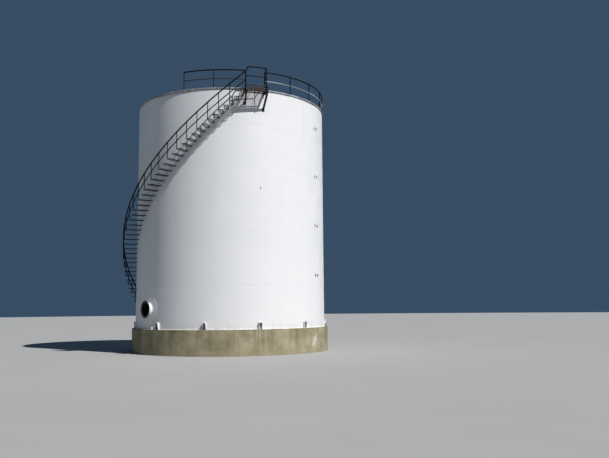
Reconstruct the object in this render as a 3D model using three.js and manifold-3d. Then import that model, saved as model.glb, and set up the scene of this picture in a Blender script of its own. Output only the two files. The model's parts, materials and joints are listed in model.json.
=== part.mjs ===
// Vertical steel storage tank on a concrete ring foundation, with a shell manway that stands
// open, a spiral stair, a platform outside the rim and a railing round part of the roof edge.
// Millimetres, +Z up. The origin is on the ground at the middle of the foundation. Angles are in
// degrees round the tank's axis, counter-clockwise from above, and the manway at angle 0 faces -Y.
import * as THREE from 'three';
import { mergeVertices } from 'three/addons/utils/BufferGeometryUtils.js';
import Module from 'manifold-3d';

const wasm = await Module();
wasm.setup();

// Gap between curved or slanted pieces that bear on each other
const GAP = 0.3;

// Round walls are regular polygons with a flat face towards the manway
const FACETS = 72;
const FACET_ANGLE = 360 / FACETS;

// Concrete foundation
const RING_RADIUS = 4900;
const RING_WALL = 350;
const RING_HEIGHT = 1150;

// Tank shell of six welded courses on a flat bottom
const SHELL_RADIUS = 4725;
const SHELL_THICKNESS = 8;
const COURSE_COUNT = 6;
const COURSE_HEIGHT = 1829;
const BOTTOM_THICKNESS = 8;
const BOTTOM_LEDGE = 75;
const SHELL_BASE = RING_HEIGHT + BOTTOM_THICKNESS;
const SHELL_TOP = SHELL_BASE + COURSE_COUNT * COURSE_HEIGHT;

// Curb angle: one leg lies on the shell's top edge and the other is turned down outside it
const CURB_INNER = SHELL_RADIUS - 35;
const CURB_OUTER = SHELL_RADIUS + 40;
const CURB_DROP = 55;
const CURB_THICKNESS = 8;
const CURB_TOP = SHELL_TOP + CURB_THICKNESS;

// Cone roof and its fittings
const ROOF_THICKNESS = 6;
const ROOF_LAND = CURB_INNER;
const ROOF_EDGE_RADIUS = ROOF_LAND + 10;
const ROOF_SLOPE = 1 / 6;
const VENT_NECK_RADIUS = 110;
const VENT_NECK_HEIGHT = 260;
const VENT_CAP_RADIUS = 230;
const VENT_CAP_HEIGHT = 70;
const ROOF_MANWAY_RADIUS = 305;
const ROOF_MANWAY_PLACE = 2900;
const ROOF_MANWAY_ANGLE = 35;
const ROOF_MANWAY_HEIGHT = 150;
const GAUGE_HATCH_RADIUS = 100;
const GAUGE_HATCH_PLACE = 3900;
const GAUGE_HATCH_HEIGHT = 160;
const COVER_OVERHANG = 60;
const COVER_THICKNESS = 16;

// Shell manway
const MANWAY_BORE_RADIUS = 305;
const MANWAY_NECK_WALL = 12;
const MANWAY_NECK_RADIUS = MANWAY_BORE_RADIUS + MANWAY_NECK_WALL;
const MANWAY_HEIGHT = RING_HEIGHT + 920;
const MANWAY_PROJECTION = 210;
const MANWAY_INNER_REACH = 40;
const MANWAY_FLANGE_RADIUS = 410;
const MANWAY_FLANGE_THICKNESS = 16;
const MANWAY_PAD_RADIUS = 620;
const MANWAY_PAD_THICKNESS = 8;

// Anchor chairs round the foot of the shell
const CHAIR_COUNT = 12;
const CHAIR_FIRST_ANGLE = 9;
const CHAIR_HEIGHT = 300;
const CHAIR_WIDTH = 165;
const CHAIR_TOP_DEPTH = 130;
const CHAIR_FOOT_DEPTH = BOTTOM_LEDGE - 5;
const CHAIR_TOP_THICKNESS = 20;
const CHAIR_GUSSET_THICKNESS = 12;

// Clips and lugs on the shell
const CLIP_ANGLE = 112.8;
const CLIP_HEIGHTS = [2490, 4905, 7320, 9735];
const CLIP_SPACING = 250;
const CLIP_WIDTH = 70;
const CLIP_LENGTH = 115;
const CLIP_DEPTH = 70;
const CLIP_THICKNESS = 10;
const LUG_ANGLE = 69.6;
const LUG_HEIGHT = 6410;
const GROUNDING_LUG_ANGLE = 3.8;
const GROUNDING_LUG_HEIGHT = 120;

// Platform outside the rim
const PLATFORM_FROM = 59.6;
const PLATFORM_TO = 71.4;
const PLATFORM_TOP = RING_HEIGHT + 10830;
const PLATFORM_RADIUS = 5362;
const PLATFORM_PLATE = 30;
const PLATFORM_SKIRT = 120;
const PLATFORM_STEP = 2.75;
const SKIRT_THICKNESS = 10;
const TOE_PLATE_HEIGHT = 170;
const TOE_PLATE_THICKNESS = 6;
const TOE_SLOT_LOW = 30;
const TOE_SLOT_HIGH = 100;
const TOE_SLOT_COUNT = 4;
const TOE_FOOT_ANGLE = 0.6;
const BRACKET_WIDTH = 75;
const BRACKET_DEPTH = 80;
const BRACKET_LEFT = { angle: PLATFORM_FROM + 0.8, drop: 480 };
const BRACKET_RIGHT = { angle: PLATFORM_TO - 0.42, drop: 730 };
const BRACKET_FOOT = 130;
const BRACKET_FOOT_THICKNESS = 10;

// Spiral stair from the ground to the platform. A bar on the shell carries the treads, and an
// outer stringer that stands on the ground carries the lowest ones, which are beside the ring.
const STAIR_RISERS = 57;
const TREAD_ANGLE = 2.61;
const TREAD_RISE = PLATFORM_TOP / STAIR_RISERS;
const TREAD_RUN = 230;
const TREAD_THICKNESS = 30;
const WALL_BAR = { thickness: 10, above: 10, below: 70 };
const WALL_BAR_END_GAP = 12;
const STRINGER = { thickness: 10, above: 30, below: 120 };
const STRINGER_TREADS = 9;
const FLIGHT_COUNT = 4;

// Railings of round pipe
const PIPE_RADIUS = 24;
const TOP_RAIL_RADIUS = 30;
const PIPE_SIDES = 6;
const RAIL_STEP = 5;
const POST_RADIUS = PLATFORM_RADIUS + GAP + PIPE_RADIUS;
const POST_INSET = THREE.MathUtils.radToDeg((PIPE_RADIUS + GAP) / POST_RADIUS);
const PLATFORM_POST_LEFT = PLATFORM_FROM + POST_INSET;
const PLATFORM_POST_RIGHT = PLATFORM_TO - 5 * POST_INSET;
const STAIR_RAIL_HEIGHT = 722;
const STAIR_MID_RAIL_HEIGHT = 312;
const STAIR_POST_EVERY = 2;
const STAIR_POST_SHIFT = 30 - TREAD_RUN / 2;
const STAIR_TOP_POST = 3;
const PLATFORM_RAIL_HEIGHT = 960;
const PLATFORM_MID_RAIL_HEIGHT = 530;
const PLATFORM_RAIL_RISE_RUN = 110;
const ROOF_RAIL_RADIUS = ROOF_EDGE_RADIUS + PIPE_RADIUS + 3;
const ROOF_RAIL_HEIGHT = 840;
const ROOF_RAIL_LEFT = { from: 25.4, posts: 3, spacing: 17.7 };
const ROOF_RAIL_RIGHT = { from: 71.9, posts: 6, spacing: 17 };

// Finishes
const WHITE_PAINT = { color: 0xe6e6e4, roughness: 0.45, metalness: 0.0 };
const RAIL_PAINT = { color: 0x1d1a20, roughness: 0.5, metalness: 0.0 };
const TREAD_STEEL = { color: 0x7a7c80, roughness: 0.6, metalness: 0.3 };
const PRIMER = { color: 0x3e2f35, roughness: 0.65, metalness: 0.0 };
const CONCRETE = { color: 0x9c9478, roughness: 0.9, metalness: 0.0 };
const PACKED_FILL = { color: 0x857860, roughness: 1.0, metalness: 0.0 };

function radians(degrees) {
  return THREE.MathUtils.degToRad(degrees);
}

function polar(radius, angle, height) {
  return new THREE.Vector3(radius * Math.sin(radians(angle)), -radius * Math.cos(radians(angle)), height);
}

// Closed geometry to a solid that can be joined and cut, and back
function toSolid(geometry) {
  const bare = geometry.index ? geometry.toNonIndexed() : geometry.clone();
  bare.deleteAttribute('normal');
  bare.deleteAttribute('uv');
  const merged = mergeVertices(bare, 1e-3);
  const mesh = new wasm.Mesh({
    numProp: 3,
    vertProperties: new Float32Array(merged.attributes.position.array),
    triVerts: new Uint32Array(merged.index.array),
  });
  return new wasm.Manifold(mesh);
}

function toGeometry(solid) {
  const mesh = solid.getMesh();
  const geometry = new THREE.BufferGeometry();
  geometry.setAttribute('position', new THREE.BufferAttribute(new Float32Array(mesh.vertProperties), 3));
  geometry.setIndex(new THREE.BufferAttribute(new Uint32Array(mesh.triVerts), 1));
  geometry.computeVertexNormals();
  return geometry;
}

function union(solids) {
  return solids.reduce((whole, piece) => whole.add(piece));
}

// Corners of the round walls' polygon, half a facet off the manway
function facetCorners(radius) {
  const corners = [];
  for (let index = 0; index < FACETS; index += 1) {
    const corner = polar(radius, (index + 0.5) * FACET_ANGLE, 0);
    corners.push(new THREE.Vector2(corner.x, corner.y));
  }
  return corners;
}

function prism(shape, low, high) {
  const geometry = new THREE.ExtrudeGeometry(shape, { depth: high - low, bevelEnabled: false });
  return geometry.translate(0, 0, low);
}

function disc(radius, low, high) {
  return prism(new THREE.Shape(facetCorners(radius)), low, high);
}

function roundWall(outerRadius, innerRadius, low, high) {
  const shape = new THREE.Shape(facetCorners(outerRadius));
  shape.holes.push(new THREE.Path(facetCorners(innerRadius).reverse()));
  return prism(shape, low, high);
}

// Solid swept round the tank's axis from a profile of [radius, height] points
function revolve(profile) {
  const points = profile.map(([radius, height]) => new THREE.Vector2(radius, height));
  const geometry = new THREE.LatheGeometry(points, FACETS, radians(FACET_ANGLE / 2));
  return geometry.rotateX(Math.PI / 2);
}

// Upright turned piece of a fitting, with its own number of sides
function turned(profile, sides) {
  const points = profile.map(([radius, height]) => new THREE.Vector2(radius, height));
  return new THREE.LatheGeometry(points, sides).rotateX(Math.PI / 2);
}

// Curved plate between two radii and two angles, which may climb as it goes round
function arcPlate({ inner, outer, from, to, low, high, climb = 0, step = FACET_ANGLE }) {
  const count = Math.max(1, Math.round((to - from) / step));
  const angleAt = (index) => from + ((to - from) * index) / count;
  const outline = [];
  for (let index = 0; index <= count; index += 1) {
    outline.push(polar(outer, angleAt(index), 0));
  }
  for (let index = count; index >= 0; index -= 1) {
    outline.push(polar(inner, angleAt(index), 0));
  }
  const shape = new THREE.Shape(outline.map((point) => new THREE.Vector2(point.x, point.y)));
  const geometry = prism(shape, low, high);
  const position = geometry.attributes.position;
  const start = polar(1, from, 0);
  for (let index = 0; index < position.count; index += 1) {
    const x = position.getX(index);
    const y = position.getY(index);
    const turn = Math.atan2(start.x * y - start.y * x, start.x * x + start.y * y);
    position.setZ(index, position.getZ(index) + THREE.MathUtils.radToDeg(turn) * climb);
  }
  return geometry;
}

// Box at an angle round the tank, reaching from one radius to another
function radialBox({ angle, from, to, width, low, high, shift = 0 }) {
  const geometry = new THREE.BoxGeometry(width, to - from, high - low);
  geometry.translate(shift, -(from + to) / 2, (low + high) / 2);
  return geometry.rotateZ(radians(angle));
}

// Plate in a radial plane, from an outline of [radius, height] points
function radialPlate(outline, thickness, angle, shift = 0) {
  const shape = new THREE.Shape(outline.map(([radius, height]) => new THREE.Vector2(radius, height)));
  const geometry = new THREE.ExtrudeGeometry(shape, { depth: thickness, bevelEnabled: false });
  geometry.translate(0, 0, -thickness / 2);
  geometry.rotateX(Math.PI / 2);
  geometry.rotateZ(-Math.PI / 2);
  geometry.translate(shift, 0, 0);
  return geometry.rotateZ(radians(angle));
}

// Cylinder along Y through the shell at the manway
function manwayCylinder(radius) {
  const geometry = new THREE.CylinderGeometry(radius, radius, 2000, 36);
  return toSolid(geometry.translate(0, -SHELL_RADIUS, MANWAY_HEIGHT));
}

// Round pipe between two points
function straightPipe(start, end, radius = PIPE_RADIUS) {
  const length = start.distanceTo(end);
  const geometry = new THREE.CylinderGeometry(radius, radius, length, PIPE_SIDES);
  const turn = new THREE.Quaternion().setFromUnitVectors(
    new THREE.Vector3(0, 1, 0),
    end.clone().sub(start).normalize(),
  );
  const middle = start.clone().add(end).multiplyScalar(0.5);
  return toSolid(geometry.applyQuaternion(turn).translate(middle.x, middle.y, middle.z));
}

class RisingArc extends THREE.Curve {
  constructor(radius, from, to, startHeight, endHeight) {
    super();
    Object.assign(this, { radius, from, to, startHeight, endHeight });
  }

  getPoint(portion, target = new THREE.Vector3()) {
    const angle = THREE.MathUtils.lerp(this.from, this.to, portion);
    const height = THREE.MathUtils.lerp(this.startHeight, this.endHeight, portion);
    return target.copy(polar(this.radius, angle, height));
  }
}

// Round pipe that follows the tank's curve, level or climbing
function curvedPipe(radius, from, to, startHeight, endHeight, pipeRadius = PIPE_RADIUS) {
  const section = new THREE.Shape();
  for (let side = 0; side < PIPE_SIDES; side += 1) {
    const turn = (2 * Math.PI * side) / PIPE_SIDES;
    const x = pipeRadius * Math.cos(turn);
    const y = pipeRadius * Math.sin(turn);
    if (side === 0) {
      section.moveTo(x, y);
    } else {
      section.lineTo(x, y);
    }
  }
  const steps = Math.max(2, Math.round(Math.abs(to - from) / RAIL_STEP));
  const path = new RisingArc(radius, from, to, startHeight, endHeight);
  return toSolid(new THREE.ExtrudeGeometry(section, { steps, bevelEnabled: false, extrudePath: path }));
}

// Upright pipe with one of its edges turned to the tank
function post(placeRadius, angle, low, high, shift = 0, pipeRadius = PIPE_RADIUS) {
  const geometry = new THREE.CylinderGeometry(pipeRadius, pipeRadius, high - low, PIPE_SIDES);
  geometry.rotateX(Math.PI / 2).translate(shift, -placeRadius, (low + high) / 2);
  return toSolid(geometry.rotateZ(radians(angle)));
}

// Room taken by the shell, and by the foundation with the bottom plate on it
const shellRoom = toSolid(disc(SHELL_RADIUS + GAP, 0, SHELL_TOP));
const foundationRoom = toSolid(disc(RING_RADIUS + GAP, -1000, SHELL_BASE + GAP));

const tank = new THREE.Group();

function addPiece(group, name, shape, finish) {
  const geometry = shape.isBufferGeometry ? shape : toGeometry(shape);
  const piece = new THREE.Mesh(geometry, new THREE.MeshStandardMaterial(finish));
  piece.name = name;
  group.add(piece);
}

function addGroup() {
  const group = new THREE.Group();
  tank.add(group);
  return group;
}

// Concrete ring and the packed fill inside it
function addFoundation() {
  const group = addGroup();
  const innerRadius = RING_RADIUS - RING_WALL;
  addPiece(group, 'ring_foundation', roundWall(RING_RADIUS, innerRadius, 0, RING_HEIGHT), CONCRETE);
  addPiece(group, 'foundation_fill', disc(innerRadius - GAP, 0, RING_HEIGHT), PACKED_FILL);
}

// Bottom plate and the six courses, the first one cut for the manway
function addShell() {
  const group = addGroup();
  const bottom = disc(SHELL_RADIUS + BOTTOM_LEDGE, RING_HEIGHT, SHELL_BASE);
  addPiece(group, 'bottom_plate', bottom, WHITE_PAINT);
  const innerRadius = SHELL_RADIUS - SHELL_THICKNESS;
  for (let course = 0; course < COURSE_COUNT; course += 1) {
    const low = SHELL_BASE + course * COURSE_HEIGHT;
    const wall = roundWall(SHELL_RADIUS, innerRadius, low, low + COURSE_HEIGHT);
    const hasManway = course === 0;
    const shape = hasManway ? toSolid(wall).subtract(manwayCylinder(MANWAY_NECK_RADIUS + GAP)) : wall;
    addPiece(group, `shell_course_${course + 1}`, shape, WHITE_PAINT);
  }
  const curb = revolve([
    [CURB_INNER, SHELL_TOP],
    [CURB_OUTER - CURB_THICKNESS, SHELL_TOP],
    [CURB_OUTER - CURB_THICKNESS, CURB_TOP - CURB_DROP],
    [CURB_OUTER, CURB_TOP - CURB_DROP],
    [CURB_OUTER, CURB_TOP],
    [CURB_INNER, CURB_TOP],
    [CURB_INNER, SHELL_TOP],
  ]);
  addPiece(group, 'curb_angle', curb, WHITE_PAINT);
}

function roofHeight(radius) {
  return CURB_TOP + ROOF_THICKNESS + (ROOF_LAND - radius) * ROOF_SLOPE;
}

// Neck and cover of a fitting that stands upright on the slope of the roof
function roofFitting(radius, height, place, angle) {
  const centre = polar(place, angle, 0);
  const top = roofHeight(place) + height;
  const fitting = turned(
    [
      [0, CURB_TOP],
      [radius, CURB_TOP],
      [radius, top],
      [radius + COVER_OVERHANG, top],
      [radius + COVER_OVERHANG, top + COVER_THICKNESS],
      [0, top + COVER_THICKNESS],
    ],
    24,
  );
  const roofRoom = revolve([
    [0, 0],
    [ROOF_LAND, 0],
    [ROOF_LAND, roofHeight(ROOF_LAND) + GAP],
    [0, roofHeight(0) + GAP],
  ]);
  return toSolid(fitting.translate(centre.x, centre.y, 0)).subtract(toSolid(roofRoom));
}

function addRoof() {
  const group = addGroup();
  const rimLow = CURB_TOP;
  const rimHigh = CURB_TOP + ROOF_THICKNESS;
  const roof = revolve([
    [0, roofHeight(0) - ROOF_THICKNESS],
    [ROOF_LAND, rimLow],
    [ROOF_EDGE_RADIUS, rimLow],
    [ROOF_EDGE_RADIUS, rimHigh],
    [ROOF_LAND, rimHigh],
    [0, roofHeight(0)],
  ]);
  addPiece(group, 'cone_roof', roof, WHITE_PAINT);
  const neckFoot = roofHeight(VENT_NECK_RADIUS) + GAP;
  const capLow = roofHeight(0) + VENT_NECK_HEIGHT;
  const vent = turned(
    [
      [0, roofHeight(0) + GAP],
      [VENT_NECK_RADIUS, neckFoot],
      [VENT_NECK_RADIUS, capLow],
      [VENT_CAP_RADIUS, capLow],
      [VENT_CAP_RADIUS, capLow + VENT_CAP_HEIGHT / 2],
      [0, capLow + VENT_CAP_HEIGHT],
    ],
    24,
  );
  addPiece(group, 'roof_vent', vent, WHITE_PAINT);
  const manway = roofFitting(ROOF_MANWAY_RADIUS, ROOF_MANWAY_HEIGHT, ROOF_MANWAY_PLACE, ROOF_MANWAY_ANGLE);
  addPiece(group, 'roof_manway', manway, WHITE_PAINT);
  const hatchAngle = (PLATFORM_FROM + PLATFORM_TO) / 2;
  const hatch = roofFitting(GAUGE_HATCH_RADIUS, GAUGE_HATCH_HEIGHT, GAUGE_HATCH_PLACE, hatchAngle);
  addPiece(group, 'gauge_hatch', hatch, WHITE_PAINT);
}

// Open neck with its flange, and the reinforcing pad that lies on the shell round it
function addManway() {
  const group = addGroup();
  const face = SHELL_RADIUS + MANWAY_PROJECTION;
  const back = face - MANWAY_FLANGE_THICKNESS;
  const inside = SHELL_RADIUS - SHELL_THICKNESS - MANWAY_INNER_REACH;
  const neck = new THREE.LatheGeometry(
    [
      [MANWAY_BORE_RADIUS, -inside],
      [MANWAY_BORE_RADIUS, -face],
      [MANWAY_FLANGE_RADIUS, -face],
      [MANWAY_FLANGE_RADIUS, -back],
      [MANWAY_NECK_RADIUS, -back],
      [MANWAY_NECK_RADIUS, -inside],
      [MANWAY_BORE_RADIUS, -inside],
    ].map(([radius, along]) => new THREE.Vector2(radius, along)),
    36,
  );
  addPiece(group, 'manway_neck', toSolid(neck.translate(0, 0, MANWAY_HEIGHT)), WHITE_PAINT);
  const padOuter = SHELL_RADIUS + GAP + MANWAY_PAD_THICKNESS;
  const padBand = arcPlate({
    inner: SHELL_RADIUS - MANWAY_PAD_THICKNESS,
    outer: padOuter,
    from: -2.5 * FACET_ANGLE,
    to: 2.5 * FACET_ANGLE,
    low: SHELL_BASE,
    high: MANWAY_HEIGHT + MANWAY_PAD_RADIUS + 1,
  });
  const pad = toSolid(padBand)
    .subtract(shellRoom)
    .intersect(manwayCylinder(MANWAY_PAD_RADIUS))
    .subtract(manwayCylinder(MANWAY_NECK_RADIUS + GAP));
  addPiece(group, 'manway_pad', pad, WHITE_PAINT);
}

// Each chair has two gussets under a top plate that the anchor bolt pulls down on
function addAnchorChairs() {
  const group = addGroup();
  const foot = SHELL_RADIUS - CHAIR_TOP_THICKNESS;
  const underTop = SHELL_BASE + CHAIR_HEIGHT - CHAIR_TOP_THICKNESS;
  const gussetOutline = [
    [foot, SHELL_BASE],
    [SHELL_RADIUS + CHAIR_FOOT_DEPTH, SHELL_BASE],
    [SHELL_RADIUS + CHAIR_TOP_DEPTH - 5, underTop + 1],
    [foot, underTop + 1],
  ];
  const gussetShift = CHAIR_WIDTH / 2 - CHAIR_GUSSET_THICKNESS;
  for (let index = 0; index < CHAIR_COUNT; index += 1) {
    const angle = CHAIR_FIRST_ANGLE + (index * 360) / CHAIR_COUNT;
    const topPlate = radialBox({
      angle,
      from: foot,
      to: SHELL_RADIUS + CHAIR_TOP_DEPTH,
      width: CHAIR_WIDTH,
      low: underTop,
      high: SHELL_BASE + CHAIR_HEIGHT,
    });
    const chair = union([
      toSolid(topPlate),
      toSolid(radialPlate(gussetOutline, CHAIR_GUSSET_THICKNESS, angle, -gussetShift)),
      toSolid(radialPlate(gussetOutline, CHAIR_GUSSET_THICKNESS, angle, gussetShift)),
    ]);
    const name = `anchor_chair_${String(index + 1).padStart(2, '0')}`;
    addPiece(group, name, chair.subtract(shellRoom), WHITE_PAINT);
  }
}

// Pairs of clips up the shell, a lug below the platform and a grounding lug at the foot
function addClips() {
  const group = addGroup();
  const root = SHELL_RADIUS - 2 * CLIP_THICKNESS;
  CLIP_HEIGHTS.forEach((height, index) => {
    const low = RING_HEIGHT + height - CLIP_LENGTH / 2;
    const place = { angle: CLIP_ANGLE, from: root, low, high: low + CLIP_LENGTH };
    const strip = { ...place, to: SHELL_RADIUS + CLIP_THICKNESS, width: CLIP_SPACING + CLIP_WIDTH };
    const arm = { ...place, to: SHELL_RADIUS + CLIP_DEPTH, width: CLIP_THICKNESS };
    const pair = union([
      toSolid(radialBox(strip)),
      toSolid(radialBox({ ...arm, shift: -CLIP_SPACING / 2 })),
      toSolid(radialBox({ ...arm, shift: CLIP_SPACING / 2 })),
    ]);
    addPiece(group, `clip_pair_${index + 1}`, pair.subtract(shellRoom), WHITE_PAINT);
  });
  const lug = radialBox({
    angle: LUG_ANGLE,
    from: root,
    to: SHELL_RADIUS + CLIP_DEPTH,
    width: CLIP_WIDTH,
    low: RING_HEIGHT + LUG_HEIGHT - CLIP_WIDTH / 2,
    high: RING_HEIGHT + LUG_HEIGHT + CLIP_WIDTH / 2,
  });
  addPiece(group, 'shell_lug', toSolid(lug).subtract(shellRoom), WHITE_PAINT);
  const grounding = radialBox({
    angle: GROUNDING_LUG_ANGLE,
    from: root,
    to: SHELL_RADIUS + CHAIR_FOOT_DEPTH,
    width: CLIP_WIDTH,
    low: SHELL_BASE,
    high: SHELL_BASE + GROUNDING_LUG_HEIGHT,
  });
  addPiece(group, 'grounding_lug', toSolid(grounding).subtract(shellRoom), WHITE_PAINT);
}

// Height of the line through the tread nosings at an angle round the tank
function nosingHeight(angle) {
  return PLATFORM_TOP - ((PLATFORM_FROM - angle) / TREAD_ANGLE) * TREAD_RISE;
}

// Bar that climbs round the tank along the line of the nosings
function climbingBar({ thickness, above, below }, outer, from, to) {
  return toSolid(
    arcPlate({
      inner: outer - thickness,
      outer,
      from,
      to,
      low: nosingHeight(from) - below,
      high: nosingHeight(from) + above,
      climb: TREAD_RISE / TREAD_ANGLE,
      step: TREAD_ANGLE,
    }),
  );
}

function treadAngle(tread) {
  return PLATFORM_FROM - (tread - 0.5) * TREAD_ANGLE;
}

function treadTop(tread) {
  return PLATFORM_TOP - tread * TREAD_RISE;
}

// One flight of treads with the bars that carry them
function flight(firstTread, lastTread) {
  const isLowest = lastTread === STAIR_RISERS - 1;
  const stringerFrom = lastTread - STRINGER_TREADS;
  const from = PLATFORM_FROM - lastTread * TREAD_ANGLE;
  const to = PLATFORM_FROM - (firstTread - 1) * TREAD_ANGLE;
  const endMargin = THREE.MathUtils.radToDeg(WALL_BAR_END_GAP / SHELL_RADIUS);
  const wallBar = { ...WALL_BAR, thickness: 2 * WALL_BAR.thickness };
  const pieces = [climbingBar(wallBar, SHELL_RADIUS + WALL_BAR.thickness, from, to - endMargin)];
  if (isLowest) {
    const stringerTo = PLATFORM_FROM - stringerFrom * TREAD_ANGLE;
    pieces.push(climbingBar(STRINGER, PLATFORM_RADIUS, from - TREAD_ANGLE, stringerTo));
  }
  for (let tread = firstTread; tread <= lastTread; tread += 1) {
    const isOnStringer = isLowest && tread > stringerFrom;
    const step = radialBox({
      angle: treadAngle(tread),
      from: SHELL_RADIUS - TREAD_THICKNESS,
      to: PLATFORM_RADIUS - (isOnStringer ? STRINGER.thickness / 2 : 0),
      width: TREAD_RUN,
      low: treadTop(tread) - TREAD_THICKNESS,
      high: treadTop(tread),
    });
    pieces.push(toSolid(step));
  }
  return union(pieces).subtract(shellRoom).subtract(foundationRoom);
}

// Post that stands against the outer end of a tread, near its nosing
function stairPost(tread) {
  const angle = treadAngle(tread) + THREE.MathUtils.radToDeg(STAIR_POST_SHIFT / POST_RADIUS);
  const low = treadTop(tread) - TREAD_THICKNESS;
  return post(POST_RADIUS, treadAngle(tread), low, nosingHeight(angle) + STAIR_RAIL_HEIGHT, STAIR_POST_SHIFT);
}

function stairRail(firstPost, lastPost, from, to) {
  const rails = [
    [STAIR_RAIL_HEIGHT, TOP_RAIL_RADIUS],
    [STAIR_MID_RAIL_HEIGHT, PIPE_RADIUS],
  ];
  const pieces = rails.map(([height, pipeRadius]) => {
    const start = nosingHeight(from) + height;
    return curvedPipe(POST_RADIUS, from, to, start, nosingHeight(to) + height, pipeRadius);
  });
  for (let tread = firstPost; tread <= lastPost; tread += STAIR_POST_EVERY) {
    pieces.push(stairPost(tread));
  }
  return union(pieces);
}

function addStair() {
  const group = addGroup();
  const ground = toSolid(disc(2 * RING_RADIUS, -1000, 0));
  const treadCount = STAIR_RISERS - 1;
  const treadsPerFlight = treadCount / FLIGHT_COUNT;
  for (let index = 0; index < FLIGHT_COUNT; index += 1) {
    const last = treadCount - index * treadsPerFlight;
    const solid = flight(last - treadsPerFlight + 1, last);
    addPiece(group, `stair_flight_${index + 1}`, solid.subtract(ground), TREAD_STEEL);
  }
  const middle = treadCount / 2;
  const join = treadAngle(middle);
  const margin = THREE.MathUtils.radToDeg(GAP / POST_RADIUS);
  const foot = treadAngle(treadCount);
  const lower = stairRail(middle + 1, treadCount - 1, foot, join - margin);
  addPiece(group, 'stair_handrail_lower', lower, RAIL_PAINT);
  const upper = stairRail(STAIR_TOP_POST, middle - 1, join, PLATFORM_FROM);
  const postRoom = post(POST_RADIUS, PLATFORM_POST_LEFT, 0, 2 * PLATFORM_TOP, 0, PIPE_RADIUS + 2 * GAP);
  addPiece(group, 'stair_handrail_upper', upper.subtract(postRoom), RAIL_PAINT);
}

// Floor plate with a skirt round three sides, toe plate, two brackets and railing
function addPlatform() {
  const group = addGroup();
  const span = { from: PLATFORM_FROM, to: PLATFORM_TO };
  const skirt = { low: PLATFORM_TOP - PLATFORM_SKIRT, high: PLATFORM_TOP - PLATFORM_PLATE / 2 };
  const sideAngle = THREE.MathUtils.radToDeg(SKIRT_THICKNESS / PLATFORM_RADIUS);
  const inner = SHELL_RADIUS - SHELL_THICKNESS;
  const floorPlate = arcPlate({
    ...span,
    inner,
    outer: PLATFORM_RADIUS,
    low: PLATFORM_TOP - PLATFORM_PLATE,
    high: PLATFORM_TOP,
    step: PLATFORM_STEP,
  });
  const outerSkirt = arcPlate({
    ...span,
    ...skirt,
    inner: PLATFORM_RADIUS - SKIRT_THICKNESS,
    outer: PLATFORM_RADIUS,
    step: PLATFORM_STEP,
  });
  const leftSkirt = arcPlate({
    ...skirt,
    inner,
    outer: PLATFORM_RADIUS,
    from: PLATFORM_FROM,
    to: PLATFORM_FROM + sideAngle,
  });
  const rightSkirt = arcPlate({
    ...skirt,
    inner,
    outer: PLATFORM_RADIUS,
    from: PLATFORM_TO - sideAngle,
    to: PLATFORM_TO,
  });
  const floor = union([floorPlate, outerSkirt, leftSkirt, rightSkirt].map(toSolid)).subtract(shellRoom);
  addPiece(group, 'platform_floor', floor, PRIMER);

  const toeSpan = { low: PLATFORM_TOP, high: PLATFORM_TOP + TOE_PLATE_HEIGHT };
  const toeAngle = THREE.MathUtils.radToDeg(TOE_PLATE_THICKNESS / PLATFORM_RADIUS);
  const outerToe = arcPlate({
    ...span,
    ...toeSpan,
    inner: PLATFORM_RADIUS - TOE_PLATE_THICKNESS,
    outer: PLATFORM_RADIUS,
    step: PLATFORM_STEP,
  });
  const sideToe = arcPlate({
    ...toeSpan,
    inner: CURB_OUTER + SKIRT_THICKNESS,
    outer: PLATFORM_RADIUS,
    from: PLATFORM_TO - toeAngle,
    to: PLATFORM_TO,
  });
  // The outer toe plate is open between its feet
  let toePlate = union([outerToe, sideToe].map(toSolid));
  const slotSpan = (PLATFORM_TO - PLATFORM_FROM) / TOE_SLOT_COUNT;
  for (let index = 0; index < TOE_SLOT_COUNT; index += 1) {
    const slot = arcPlate({
      inner: PLATFORM_RADIUS - 5 * TOE_PLATE_THICKNESS,
      outer: PLATFORM_RADIUS + 5 * TOE_PLATE_THICKNESS,
      from: PLATFORM_FROM + index * slotSpan + TOE_FOOT_ANGLE / 2,
      to: PLATFORM_FROM + (index + 1) * slotSpan - TOE_FOOT_ANGLE / 2,
      low: PLATFORM_TOP + TOE_SLOT_LOW,
      high: PLATFORM_TOP + TOE_SLOT_HIGH,
    });
    toePlate = toePlate.subtract(toSolid(slot));
  }
  addPiece(group, 'platform_toe_plate', toePlate, PRIMER);
  addPiece(group, 'platform_bracket_left', bracket(BRACKET_LEFT), PRIMER);
  addPiece(group, 'platform_bracket_right', bracket(BRACKET_RIGHT), PRIMER);
  addPiece(group, 'platform_railing', platformRailing(), RAIL_PAINT);
}

// Brace from the floor's outer corner down to a foot plate on the shell
function bracket({ angle, drop }) {
  const top = PLATFORM_TOP - PLATFORM_SKIRT - GAP;
  const tip = PLATFORM_RADIUS * Math.cos(radians(PLATFORM_STEP / 2));
  const root = SHELL_RADIUS - BRACKET_FOOT_THICKNESS;
  const foot = top - drop;
  const length = Math.hypot(tip - root, drop);
  const outline = [
    [tip - (BRACKET_DEPTH * length) / drop, top],
    [tip, top],
    [root, foot],
    [root, foot + (BRACKET_DEPTH * length) / (tip - root)],
  ];
  const footPlate = radialBox({
    angle,
    from: root,
    to: SHELL_RADIUS + BRACKET_FOOT_THICKNESS,
    width: BRACKET_FOOT,
    low: foot - BRACKET_FOOT / 4,
    high: foot + BRACKET_FOOT,
  });
  const brace = toSolid(radialPlate(outline, BRACKET_WIDTH, angle));
  return brace.add(toSolid(footPlate)).subtract(shellRoom);
}

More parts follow.
